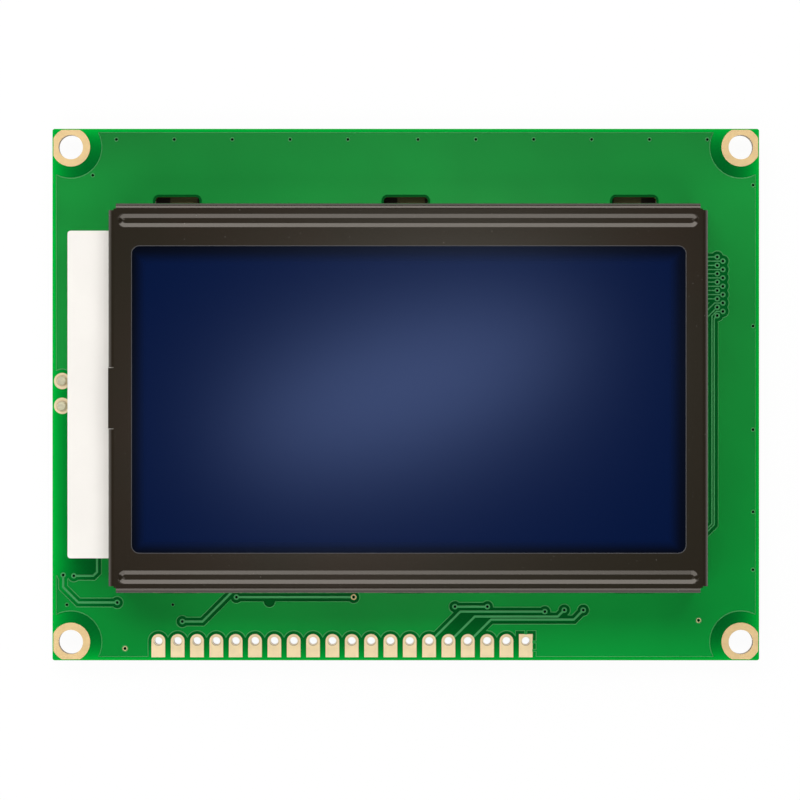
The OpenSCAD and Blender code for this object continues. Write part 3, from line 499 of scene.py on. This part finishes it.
def blue_film(look, shape):
    """Dark blue display film with a matt face; a painted shadow of the bezel darkens it along the window's edges,
    most at the top and right.
    """
    finish, spot = new_finish("blue_film")
    shifts = (look.shadow_x, look.shadow_x, look.shadow_y, look.shadow_y)
    cell = [(side + shift) / MM for side, shift in zip(window_sides(shape), shifts)]
    # Painted shadow of the bezel, darkest at the window's edge.
    border = inset(finish, spot, *cell).ramp(0.2, look.film_shadow / MM)
    cloud = finish.noise(spot, 0.03, 1.0)
    shade = finish.mix(0.3 * cloud, linear(look.film), linear(look.film, 1.5))
    shade = finish.mix(border, linear(look.film, 0.15), shade)
    grain = finish.noise(spot, 14.0, 1.0)
    return finish.surface(
        Base_Color=shade,
        Roughness=0.14 + 0.02 * (grain - 0.5),
        Specular_Tint=linear(look.film_glow),
        IOR=1.6,
    )


def clear_sheet(name, tint, roughness):
    """Clear glass or acrylic with a faint tint and slight waviness."""
    finish, spot = new_finish(name)
    wave = finish.noise(spot, 0.08, 1.0)
    return finish.surface(
        Base_Color=finish.mix(wave, tint, WHITE),
        Roughness=roughness + 0.04 * wave,
        Transmission_Weight=0.9,
        IOR=1.5,
    )


def layered_rubber():
    """Pink silicone strip with fine black layers across its length."""
    finish, spot = new_finish("layered_rubber")
    x, _, _ = finish.split(spot)
    layers = (x * 24.0).sine().ramp(-0.2, 0.2)
    return finish.surface(
        Base_Color=finish.mix(layers, linear((0.13, 0.12, 0.12)), linear((0.8, 0.55, 0.52))),
        Roughness=0.6 + 0.1 * finish.noise(spot, 3.0),
    )


def resin_drop():
    """Black epoxy: satin, with a slow uneven flow and small pits."""
    finish, spot = new_finish("resin_drop")
    flow = finish.noise(spot, 0.25, 2.0)
    pits = finish.noise(spot, 2.4, 2.0).ramp(0.66, 0.74)
    return finish.surface(
        Base_Color=finish.mix(flow, linear((0.13, 0.13, 0.13)), linear((0.19, 0.18, 0.17))),
        Roughness=0.34 + 0.25 * flow,
        Normal=finish.bump(flow - 0.4 * pits, 0.1),
    )


def bright_metal(name, shade, roughness):
    """Tinned metal or solder with dull patches."""
    finish, spot = new_finish(name)
    dull = finish.noise(spot, 1.4)
    return finish.surface(
        Base_Color=finish.mix(dull, linear(shade), linear(shade, 0.7)),
        Metallic=0.7 + 0.2 * dull,
        Roughness=roughness + 0.25 * (dull - 0.5),
        Normal=finish.bump(dull, 0.02),
    )


def deselect():
    bpy.ops.object.select_all(action="DESELECT")


def added(name):
    """The piece that was just added or joined, under its own name and with its place in its mesh."""
    piece = bpy.context.active_object
    piece.name = piece.data.name = name
    bpy.ops.object.transform_apply(location=True, rotation=True, scale=True)
    return piece


def joined(pieces, name):
    """Several pieces made into one, under its own name."""
    make_active(pieces[0])
    for piece in pieces:
        piece.select_set(True)
    bpy.ops.object.join()
    return added(name)


def edit():
    bpy.ops.object.mode_set(mode="EDIT")


def leave():
    bpy.ops.object.mode_set(mode="OBJECT")


def make_active(piece):
    deselect()
    piece.select_set(True)
    bpy.context.view_layer.objects.active = piece


def pick(kind, test):
    """In edit mode, select the vertices, edges or faces that pass a test."""
    bpy.ops.mesh.select_mode(type=kind)
    bpy.ops.mesh.select_all(action="DESELECT")
    mesh = bmesh.from_edit_mesh(bpy.context.active_object.data)
    for item in {"VERT": mesh.verts, "EDGE": mesh.edges, "FACE": mesh.faces}[kind]:
        if test(item):
            item.select_set(True)
    bmesh.update_edit_mesh(bpy.context.active_object.data)


def pick_all():
    bpy.ops.mesh.select_all(action="SELECT")


def middle(edge):
    return (edge.verts[0].co + edge.verts[1].co) / 2


def extrude(x, y, z):
    bpy.ops.mesh.extrude_region_move(TRANSFORM_OT_translate={"value": (x, y, z)})


def bend(centre, axis, steps=8):
    """Carry the selected edges a quarter turn round a bend."""
    bpy.ops.mesh.spin(steps=steps, angle=QUARTER_TURN, center=centre, axis=axis, use_auto_merge=False)


def cut_lines(axis, places):
    """Cut the whole mesh straight across at each place along an axis."""
    for place in sorted(places):
        where, way = [0.0] * 3, [0.0] * 3
        where[axis], way[axis] = place, 1.0
        pick_all()
        bpy.ops.mesh.bisect(plane_co=where, plane_no=way, threshold=TINY)


def apply_modifier(piece, kind, **settings):
    make_active(piece)
    modifier = piece.modifiers.new(kind.title(), kind)
    for key, value in settings.items():
        setattr(modifier, key, value)
    bpy.ops.object.modifier_apply(modifier=modifier.name)


def merged_copy(node, name):
    """A copy of a CAD node as a piece of its own, with its loose triangles joined."""
    piece = bpy.data.objects.new(name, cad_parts[node].data.copy())
    bpy.context.scene.collection.objects.link(piece)
    make_active(piece)
    edit()
    pick_all()
    bpy.ops.mesh.remove_doubles(threshold=TINY)
    leave()
    return piece


def put(piece, material, replaced=()):
    """Give a finished piece its material and the body that carries it."""
    piece.data.materials.clear()
    piece.data.materials.append(material)
    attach(piece, "root")
    if replaced:
        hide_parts(*replaced)


def dress(material, *nodes):
    """Give CAD nodes a finish."""
    for node in nodes:
        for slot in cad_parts[node].material_slots:
            slot.material = material


def soften(width, *nodes):
    """Round the sharp edges of CAD nodes a little, by a width in millimetres."""
    for node in nodes:
        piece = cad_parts[node]
        weld = piece.modifiers.new("Weld", "WELD")
        weld.merge_threshold = TINY
        rounding = piece.modifiers.new("Bevel", "BEVEL")
        rounding.width = width * MM
        rounding.segments = 3
        rounding.limit_method = "ANGLE"
        rounding.angle_limit = SHARP


def window_sides(shape):
    """Left, right, lower and upper side of the bezel's window."""
    return (
        BEZEL_LOW.x + shape.left_border,
        BEZEL_HIGH.x - shape.right_border,
        BEZEL_LOW.y + shape.tab_leg + shape.lower_border,
        BEZEL_HIGH.y - shape.tab_leg - shape.upper_border,
    )


class LCD_OT_bezel(Operator):
    """Fold the bezel from one sheet, with its beads, bends, lip, tabs and window"""

    bl_idname = "lcd.bezel"
    bl_label = "Bezel"

    def execute(self, context):
        shape = context.scene.lcd_bezel
        left, right = BEZEL_LOW.x, BEZEL_HIGH.x
        lower, upper = BEZEL_LOW.y + shape.tab_leg, BEZEL_HIGH.y - shape.tab_leg
        skim = 0.01 * MM  # keeps the rounded sheet inside the solid's box
        self.top = BEZEL_HIGH.z - skim
        self.x, self.y = (left + right) / 2, (lower + upper) / 2
        self.half_w, self.half_h = (right - left) / 2, (upper - lower) / 2
        self.flat_w, self.flat_h = self.half_w - shape.bend_r, self.half_h - shape.bend_r
        self.bead_rows = (lower + shape.lower_bead, upper - shape.upper_bead)
        self.bead_x = self.half_w - shape.bead_end - shape.bead_w / 2
        self.tab_x = (-shape.tab_spread, shape.tab_shift, shape.tab_spread)
        self.slot_x = (-shape.slot_pitch, 0.0, shape.slot_pitch)
        bezel = self.blank(shape)
        self.press_beads(shape)
        self.fold_long_sides(shape)
        self.fold_short_sides(shape)
        pick_all()
        bpy.ops.mesh.normals_make_consistent(inside=False)
        leave()
        apply_modifier(
            bezel, "SOLIDIFY", thickness=shape.sheet, offset=-1.0, use_even_offset=True, use_quality_normals=True
        )
        self.cut_window(shape, bezel)
        cut_edge, soft_edge = math.radians(55), math.radians(20)
        apply_modifier(bezel, "BEVEL", width=shape.edge_r, segments=3, limit_method="ANGLE", angle_limit=cut_edge)
        make_active(bezel)
        bpy.ops.object.shade_smooth_by_angle(angle=soft_edge)
        apply_modifier(bezel, "WEIGHTED_NORMAL", keep_sharp=True)
        put(bezel, black_paint(shape), ["bezel"])
        return {"FINISHED"}

    def blank(self, shape):
        """Flat face of the bezel, cut into the lines that beads, flanges and tabs need."""
        deselect()
        bpy.ops.mesh.primitive_plane_add(size=1.0, location=(self.x, self.y, self.top))
        bpy.context.active_object.scale = (2 * self.flat_w, 2 * self.flat_h, 1.0)
        bezel = added("bezel_sheet")
        wall_steps = 6
        hem = 0.06 * MM  # narrow strip that keeps the shading of the flats even
        floor = shape.bead_floor / 2
        rise = (shape.bead_w / 2 - floor) / wall_steps
        profile = [floor * share for share in (0.0, 0.5, 0.85)]
        profile += [floor + rise * i for i in range(wall_steps + 1)]
        profile.append(shape.bead_w / 2 + hem)
        rows = {row + t * p for row in self.bead_rows for t in (-1, 1) for p in profile}
        rows |= {self.y + s * (self.half_h - shape.side_relief) for s in (-1, 1)}
        rows |= {self.y + s * (shape.lip_notch / 2 - gap) for s in (-1, 1) for gap in (0.0, shape.lip_gap)}
        rows |= {self.y + s * (self.flat_h - hem) for s in (-1, 1)}
        columns = {self.x + s * (self.bead_x + p) for s in (-1, 1) for p in (-hem, *profile)}
        columns |= {self.x + s * (self.flat_w - hem) for s in (-1, 1)}
        columns |= {self.x + s * (self.half_w - shape.long_relief) for s in (-1, 1)}
        columns |= {x + s * shape.tab_w / 2 for x in self.tab_x for s in (-1, 1)}
        edit()
        cut_lines(0, columns)
        cut_lines(1, rows)
        return bezel

    def press_beads(self, shape):
        """Push the floors of the two beads down, with soft walls round them."""
        floor = shape.bead_floor / 2
        for row in self.bead_rows:

            def on_floor(vert):
                past = max(abs(vert.co.x - self.x) - self.bead_x, 0.0)
                return math.hypot(past, vert.co.y - row) <= floor + TINY

            pick("VERT", on_floor)
            bpy.ops.transform.translate(
                value=(0.0, 0.0, -shape.bead_depth),
                use_proportional_edit=True,
                proportional_edit_falloff="LINEAR",
                proportional_size=shape.bead_w / 2 - floor,
            )

    def fold_long_sides(self, shape):
        """Bend the long flanges down to the board and their tabs through it and outwards."""
        reach = self.half_w - shape.long_relief + TINY
        inner_r = shape.bend_r - shape.sheet
        for side in (-1, 1):
            edge_y = self.y + side * self.flat_h
            face_y = self.y + side * self.half_h
            pick(
                "EDGE",
                lambda e: all(abs(v.co.y - edge_y) < TINY and abs(v.co.x - self.x) < reach for v in e.verts),
            )
            bend((self.x, edge_y, self.top - shape.bend_r), (side, 0.0, 0.0))
            extrude(0.0, 0.0, POUR_TOP - self.top + shape.bend_r)
            turn_z = POUR_REAR + inner_r
            for tab, slot in zip(self.tab_x, self.slot_x):
                self.pick_tab(face_y, POUR_TOP, POUR_TOP, tab, shape.tab_w)
                extrude(0.0, 0.0, shape.foot_top - POUR_TOP)
                extrude(0.0, 0.0, turn_z - shape.foot_top)
                self.widen_foot(shape, face_y, turn_z, tab, slot)
                self.pick_tab(face_y, turn_z, turn_z, slot, shape.foot_w + shape.sheet)
                bend((self.x, face_y + side * inner_r, turn_z), (-side, 0.0, 0.0))
                extrude(0.0, side * (shape.tab_leg - inner_r), 0.0)

    def pick_tab(self, face_y, low, high, x, width):
        """Select a tab's edges between two heights, within a width about x."""
        pick(
            "EDGE",
            lambda e: all(
                abs(v.co.y - face_y) < TINY
                and low - TINY < v.co.z < high + TINY
                and abs(v.co.x - x) < width / 2 + TINY
                for v in e.verts
            ),
        )

    def widen_foot(self, shape, face_y, turn_z, tab, slot):
        """Draw a tab's foot out to the end of its slot, on the side where the tab falls short of it, so that dark
        paint fills the slot where only shade would show.
        """
        for way in (-1, 1):
            flank = tab + way * shape.tab_w / 2
            growth = slot + way * shape.foot_w / 2 - flank
            if growth * way > TINY:
                self.pick_tab(face_y, turn_z, shape.foot_top, flank, 0.0)
                extrude(growth, 0.0, 0.0)

    def fold_short_sides(self, shape):
        """Bend the side flanges down to the backlight, and draw out the flat lip on the left."""
        reach = self.half_h - shape.side_relief + TINY
        notch = shape.lip_notch / 2 - TINY
        lip = shape.lip_notch / 2 - shape.lip_gap + TINY
        foot = HOUSING_TOP + shape.flange_clear
        for side in (-1, 1):
            edge_x = self.x + side * self.flat_w

            def on_edge(e):
                return all(abs(v.co.x - edge_x) < TINY and abs(v.co.y - self.y) < reach for v in e.verts)

            def folds(e):
                return on_edge(e) and (side > 0 or abs(middle(e).y - self.y) > notch)

            pick("EDGE", folds)
            bend((edge_x, self.y, self.top - shape.bend_r), (0.0, -side, 0.0))
            extrude(0.0, 0.0, foot - self.top + shape.bend_r)
            if side < 0:
                pick("EDGE", lambda e: on_edge(e) and all(abs(v.co.y - self.y) < lip for v in e.verts))
                extrude(-shape.bend_r, 0.0, 0.0)

    def cut_window(self, shape, bezel):
        """Cut the window with its round corners through the sheet."""
        deselect()
        left, right, lower, upper = window_sides(shape)
        bpy.ops.mesh.primitive_cube_add(size=1.0, location=((left + right) / 2, (lower + upper) / 2, self.top))
        bpy.context.active_object.scale = (right - left, upper - lower, 4 * shape.sheet)
        cutter = added("window_cutter")
        edit()
        pick("EDGE", lambda e: abs(e.verts[0].co.z - e.verts[1].co.z) > shape.sheet)
        bpy.ops.mesh.bevel(offset=shape.window_r, segments=8, affect="EDGES")
        leave()
        apply_modifier(bezel, "BOOLEAN", object=cutter, operation="DIFFERENCE", solver="EXACT")
        bpy.data.objects.remove(cutter)


def by_slot(point):
    """Whether a point lies beside one of the slots for the bezel's tabs, where the mask has no ridge."""
    shape = bpy.context.scene.lcd_bezel
    reach = 0.65 * shape.foot_w  # to just past the slot's end
    beyond = max(point.y - BEZEL_HIGH.y + shape.tab_leg, BEZEL_LOW.y + shape.tab_leg - point.y)
    aside = min(abs(point.x - x) for x in (-shape.slot_pitch, 0.0, shape.slot_pitch))
    return abs(beyond) < shape.tab_leg and aside < reach


class LCD_OT_mask_ridges(Operator):
    """Run a flat ridge of solder mask along every edge of the two ground pours"""

    bl_idname = "lcd.mask_ridges"
    bl_label = "Mask ridges"

    def execute(self, context):
        look = context.scene.lcd_board
        ridge = mask_over_copper("mask_ridge", look, look.ridge_mask, lift=0.1, roughness=0.4)
        self.outline("front_ground_pour", "front_mask_ridge", POUR_TOP, 1.0, look, ridge)
        self.outline("rear_ground_pour", "rear_mask_ridge", POUR_REAR, -1.0, look, ridge)
        return {"FINISHED"}

    def outline(self, node, name, face_z, way, look, material):
        """Turn the outline of a pour's outer face into a low rounded ridge."""
        piece = merged_copy(node, name)
        edit()
        pick("FACE", lambda f: f.normal.z * way > FLAT)
        bpy.ops.mesh.region_to_loop()
        bpy.ops.mesh.select_all(action="INVERT")
        bpy.ops.mesh.delete(type="EDGE_FACE")
        pick("EDGE", lambda e: by_slot(middle(e)))
        bpy.ops.mesh.delete(type="EDGE_FACE")
        pick_all()
        bpy.ops.mesh.delete_loose(use_verts=True, use_edges=False, use_faces=False)
        leave()
        bpy.ops.object.convert(target="CURVE")
        piece = bpy.context.active_object
        piece.data.bevel_depth = look.ridge_r
        piece.data.bevel_resolution = 1
        bpy.ops.object.convert(target="MESH")
        piece = bpy.context.active_object
        edit()
        pick_all()
        bpy.ops.transform.resize(value=(1.0, 1.0, look.ridge_h), center_override=(0.0, 0.0, face_z))
        leave()
        bpy.ops.object.shade_smooth()
        put(piece, material)


class LCD_OT_via_fillings(Operator):
    """Fill each via with a dished plug of solder mask, coloured near-black as painted shade for the hole"""

    bl_idname = "lcd.via_fillings"
    bl_label = "Via fillings"

    def execute(self, context):
        look = context.scene.lcd_board
        first, *others = via_holes()
        plugs = [self.plug(*first)]
        for via in others:
            make_active(plugs[0])
            bpy.ops.object.duplicate()
            bpy.ops.transform.translate(value=(via[0] - first[0], via[1] - first[1], 0.0))
            plugs.append(bpy.context.active_object)
        fillings = joined(plugs, "via_fillings")
        # Painted shade: the plugs are near-black, standing in for the shade inside the vias.
        dark, pale = linear(look.via_shade), linear(look.via_shade, 1.8)
        resin = speckled("via_filling", dark, pale, scale=6.0, roughness=0.6, Specular_IOR_Level=0.02)
        put(fillings, resin)
        return {"FINISHED"}

    def plug(self, x, y, radius):
        """One plug: a short cylinder that grips the hole, with its two ends drawn in and dished."""
        height = BOARD_HIGH.z - BOARD_LOW.z
        grip, rim, dish = 1.02 * radius, 0.4 * radius, 0.5 * radius
        deselect()
        bpy.ops.mesh.primitive_cylinder_add(vertices=12, radius=grip, depth=height, location=(x, y, height / 2))
        plug = added("via_filling")
        edit()
        for way in (-1, 1):
            pick("FACE", lambda f: f.normal.z * way > FLAT)
            bpy.ops.mesh.inset(thickness=rim)
            bpy.ops.transform.translate(value=(0.0, 0.0, -way * dish))
        leave()
        bpy.ops.object.shade_smooth()
        return plug


def via_holes():
    """Middle and radius of the hole of each via, from the plated barrels."""
    barrels = merged_copy("plated_vias", "barrels")
    mesh = bmesh.new()
    mesh.from_mesh(barrels.data)
    found, seen = [], set()
    for start in mesh.verts:
        if start in seen:
            continue
        group, queue = [], [start]
        seen.add(start)
        while queue:
            vert = queue.pop()
            group.append(vert.co)
            for edge in vert.link_edges:
                other = edge.other_vert(vert)
                if other not in seen:
                    seen.add(other)
                    queue.append(other)
        x, y = [(min(c[axis] for c in group) + max(c[axis] for c in group)) / 2 for axis in (0, 1)]
        found.append((x, y, min(math.hypot(c.x - x, c.y - y) for c in group)))
    mesh.free()
    bpy.data.objects.remove(barrels)
    return sorted(found)


class LCD_OT_solder(Operator):
    """Draw the two solder joints of the backlight's terminals"""

    bl_idname = "lcd.solder"
    bl_label = "Terminal solder"

    def execute(self, context):
        low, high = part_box("backlight_solder_joints")
        foot = (high.x - low.x) / 2
        x = low.x + foot
        joints = [self.joint(x, y, foot, high.z) for y in (low.y + foot, high.y - foot)]
        solder = joined(joints, "terminal_solder")
        bpy.ops.object.shade_smooth_by_angle(angle=math.radians(60))
        bright, dull = (0.84, 0.82, 0.7), (0.72, 0.7, 0.6)
        metal = two_tone("dull_solder", bright, dull, scale=1.2, roughness=0.45, relief=0.02, Metallic=0.25)
        put(solder, metal, ["backlight_solder_joints"])
        return {"FINISHED"}

    def joint(self, x, y, foot, top):
        """One joint: a filled hole whose upper end flares on the pad and rises to a soft dome."""
        barrel = foot * 0.76  # radius of the hole
        # Radius and height of each ring, from the hole's upper end to the top of the dome.
        rings = [
            (barrel, POUR_TOP),
            (foot, POUR_TOP + 0.01 * MM),
            (foot * 0.98, POUR_TOP + 0.06 * MM),
            (foot * 0.94, POUR_TOP + 0.18 * MM),
            (foot * 0.84, top - 0.06 * MM),
            (foot * 0.6, top - 0.01 * MM),
        ]
        deselect()
        bpy.ops.mesh.primitive_circle_add(vertices=32, radius=barrel, fill_type="NGON", location=(x, y, POUR_REAR))
        joint = added("terminal_joint")
        edit()
        pick_all()
        radius, height = barrel, POUR_REAR
        for ring, level_z in rings:
            extrude(0.0, 0.0, level_z - height)
            share = ring / radius
            bpy.ops.transform.resize(value=(share, share, 1.0), center_override=(x, y, level_z))
            radius, height = ring, level_z
        pick_all()
        bpy.ops.mesh.normals_make_consistent(inside=False)
        leave()
        return joint


class LCD_OT_board_finish(Operator):
    """Finish the board, its copper under the mask and its gold"""

    bl_idname = "lcd.board_finish"
    bl_label = "Board finish"

    def execute(self, context):
        look = context.scene.lcd_board
        dress(mask_over_laminate(look), "circuit_board")
        pour = mask_over_copper("mask_over_pour", look, look.copper_mask, lift=0.1, roughness=0.15)
        dress(pour, "front_ground_pour", "rear_ground_pour")
        trace = mask_over_copper("mask_over_trace", look, look.trace_mask, lift=0.15, roughness=0.15)
        dress(trace, "front_signal_traces", "rear_signal_traces")
        barrel = mask_over_copper("via_barrel", look, look.trace_mask, lift=0.0, roughness=0.4)
        dress(barrel, "plated_vias")
        dress(immersion_gold("header_gold", look.lifted_pad_gold, look.rim, header_holes), "header_pads")
        terminal = immersion_gold("terminal_gold", look.terminal_gold, look.rim, solder_rims)
        dress(terminal, "backlight_terminal_pads")
        dress(
            immersion_gold("immersion_gold", look.gold),
            "mounting_hole_plating",
            "exposed_via_rings",
            "upper_contact_fingers",
            "lower_contact_fingers",
        )
        return {"FINISHED"}


class LCD_OT_display_finish(Operator):
    """Finish the display cell and its elastomer strips"""

    bl_idname = "lcd.display_finish"
    bl_label = "Display finish"

    def execute(self, context):
        film = blue_film(context.scene.lcd_display, context.scene.lcd_bezel)
        dress(film, "front_polariser", "rear_polariser")
        dress(clear_sheet("display_glass", (0.78, 0.9, 0.86, 1.0), roughness=0.03), "front_glass", "rear_glass")
        dress(layered_rubber(), "upper_zebra_strip", "lower_zebra_strip")
        soften(0.15, "front_glass", "rear_glass")
        return {"FINISHED"}


class LCD_OT_backlight_finish(Operator):
    """Finish the backlight housing and what it holds"""

    bl_idname = "lcd.backlight_finish"
    bl_label = "Backlight finish"

    def execute(self, context):
        white = context.scene.lcd_display.housing
        pale, dim = linear(white), linear(white, 0.96)
        housing = speckled("white_housing", pale, dim, scale=0.09, roughness=0.55, relief=0.01)
        dress(housing, "backlight_housing")
        dress(clear_sheet("clear_acrylic", (0.92, 0.97, 0.96, 1.0), roughness=0.05), "light_guide")
        film = two_tone("white_film", (0.97, 0.97, 0.96), (0.93, 0.93, 0.93), scale=0.5, roughness=0.7)
        dress(film, "diffuser_sheet", "reflector_sheet")
        board = two_tone("lamp_board", (0.9, 0.9, 0.86), (0.84, 0.84, 0.78), scale=0.8, roughness=0.5)
        dress(board, "led_board")
        resin = two_tone("lamp_resin", (0.94, 0.88, 0.55), (0.9, 0.82, 0.5), scale=1.0, roughness=0.3)
        dress(resin, "backlight_leds")
        dress(bright_metal("tinned_lead", (0.8, 0.74, 0.58), roughness=0.4), "anode_lead", "cathode_lead")
        soften(0.12, "backlight_housing")
        return {"FINISHED"}


class LCD_OT_rear_finish(Operator):
    """Finish the glob tops and chips on the rear"""

    bl_idname = "lcd.rear_finish"
    bl_label = "Rear finish"

    def execute(self, context):
        dress(resin_drop(), "controller_glob_top", "left_driver_glob_top", "right_driver_glob_top")
        glaze = two_tone("resistor_glaze", (0.1, 0.1, 0.11), (0.15, 0.15, 0.16), scale=1.2, roughness=0.3)
        dress(glaze, "chip_resistors")
        ceramic = two_tone("capacitor_ceramic", (0.7, 0.6, 0.46), (0.62, 0.52, 0.4), scale=1.2, roughness=0.5)
        dress(ceramic, "chip_capacitors")
        dress(bright_metal("tinned_ends", (0.8, 0.8, 0.78), roughness=0.35), "chip_terminals", "chip_pads")
        soften(0.05, "chip_resistors", "chip_capacitors", "chip_terminals")
        return {"FINISHED"}


class LCD_OT_stage(Operator):
    """Set the camera, the lights and the pale floor"""

    bl_idname = "lcd.stage"
    bl_label = "Stage"

    def execute(self, context):
        setup = context.scene.lcd_stage
        context.scene.view_settings.view_transform = "Standard"
        self.camera(setup)
        self.floor(setup)
        self.lights(setup)
        self.world(context, setup)
        return {"FINISHED"}

    def camera(self, setup):
        """Look straight down from where the photograph was taken."""
        deselect()
        bpy.ops.object.camera_add(
            location=(setup.view_x, setup.view_y, POUR_TOP + setup.view_height), rotation=(0.0, 0.0, 0.0)
        )
        camera = bpy.context.active_object
        camera.name = "front_view"
        camera.data.sensor_width = 36.0
        camera.data.lens = camera.data.sensor_width * setup.view_height / setup.view_width
        camera.data.clip_start, camera.data.clip_end = 0.01, 20.0
        bpy.context.scene.camera = camera

    def floor(self, setup):
        """A pale floor that keeps the soft shadow, with walls far round it, all white to the eye.

        The wall before the board's lower edge is taller than the others.
        """
        deselect()
        bpy.ops.mesh.primitive_plane_add(size=setup.floor_w, location=(0.0, 0.0, CAD_BOX[0].z))
        floor = added("floor")
        edit()
        pick_all()
        bpy.ops.mesh.extrude_edges_move(TRANSFORM_OT_translate={"value": (0.0, 0.0, setup.wall_h)})
        high, far = setup.wall_h / 2, -setup.floor_w / 4
        pick("EDGE", lambda e: all(v.co.z > high and v.co.y < far for v in e.verts))
        extrude(0.0, 0.0, setup.wall_rise)
        leave()
        finish = Finish(bpy.data.materials.new("pale_floor"))
        rays = ("Is Camera Ray", "Is Glossy Ray", "Is Transmission Ray")
        camera, glossy, clear = [finish.add("LightPath", output=kind) for kind in rays]
        seen = camera.most(glossy).most(clear)
        plain = finish.add("BsdfDiffuse", None, {"Color": (0.95, 0.95, 0.95, 1.0)})
        white = finish.add("Emission", None, {"Color": WHITE, "Strength": 1.0})
        shade = finish.add("MixShader", None, {0: setup.floor_white * seen, 1: plain, 2: white})
        finish.add("OutputMaterial", None, {"Surface": shade})
        floor.data.materials.append(finish.owner)

    def lights(self, setup):
        """Soft boxes beyond each edge of the board, and a small slanted oval one above the camera."""
        # Power, shape, middle, width and height, and slant in degrees.
        lamps = {
            "upper_light": (setup.upper_light, "RECTANGLE", (-0.12, 0.448, 0.479), (1.2, 0.5), 0.0),
            "lower_light": (setup.lower_light, "RECTANGLE", (-0.12, -0.43, 0.495), (1.4, 0.45), 0.0),
            "left_light": (setup.left_light, "RECTANGLE", (-0.75, 0.0, 0.35), (0.3, 1.2), 0.0),
            "right_light": (setup.right_light, "RECTANGLE", (0.75, 0.0, 0.35), (0.3, 1.2), 0.0),
            "top_light": (setup.top_light, "ELLIPSE", (0.0005, 0.0036, 0.75), (0.11, 0.03), 18.5),
        }
        for name, (power, shape, place, size, slant) in lamps.items():
            x, y, z = place
            towards_board = (math.atan2(-y, z), math.atan2(x, z), math.radians(slant))
            deselect()
            bpy.ops.object.light_add(type="AREA", location=place, rotation=towards_board)
            lamp = bpy.context.active_object
            lamp.name = name
            lamp.data.energy, lamp.data.shape = power, shape
            lamp.data.size, lamp.data.size_y = size

    def world(self, context, setup):
        """Even light from all round."""
        world = bpy.data.worlds.new("studio")
        context.scene.world = world
        finish = Finish(world)
        fill = finish.add("Background", None, {"Color": WHITE, "Strength": setup.ambient})
        finish.add("OutputWorld", None, {"Surface": fill})


STEPS = (
    LCD_OT_bezel,
    LCD_OT_mask_ridges,
    LCD_OT_via_fillings,
    LCD_OT_solder,
    LCD_OT_board_finish,
    LCD_OT_display_finish,
    LCD_OT_backlight_finish,
    LCD_OT_rear_finish,
    LCD_OT_stage,
)
SETTINGS = {"lcd_board": BoardLook, "lcd_bezel": BezelShape, "lcd_display": DisplayLook, "lcd_stage": StageSetup}


class LCD_PT_module(Panel):
    """Sizes, colours and steps of the LCD module"""

    bl_idname = "LCD_PT_module"
    bl_label = "Graphic LCD module"
    bl_space_type = "VIEW_3D"
    bl_region_type = "UI"
    bl_category = "LCD module"

    def draw(self, context):
        for step in STEPS:
            self.layout.operator(step.bl_idname)
        for key, group in SETTINGS.items():
            box = self.layout.box()
            for name in group.__annotations__:
                box.prop(getattr(context.scene, key), name)


def register():
    for group in SETTINGS.values():
        bpy.utils.register_class(group)
    for key, group in SETTINGS.items():
        setattr(bpy.types.Scene, key, PointerProperty(type=group))
    for cls in (*STEPS, LCD_PT_module):
        bpy.utils.register_class(cls)


def unregister():
    for cls in (LCD_PT_module, *reversed(STEPS)):
        bpy.utils.unregister_class(cls)
    for key in SETTINGS:
        delattr(bpy.types.Scene, key)
    for group in SETTINGS.values():
        bpy.utils.unregister_class(group)


def main():
    register()
    for step in STEPS:
        family, name = step.bl_idname.split(".")
        getattr(getattr(bpy.ops, family), name)()


if __name__ == "__main__":
    main()
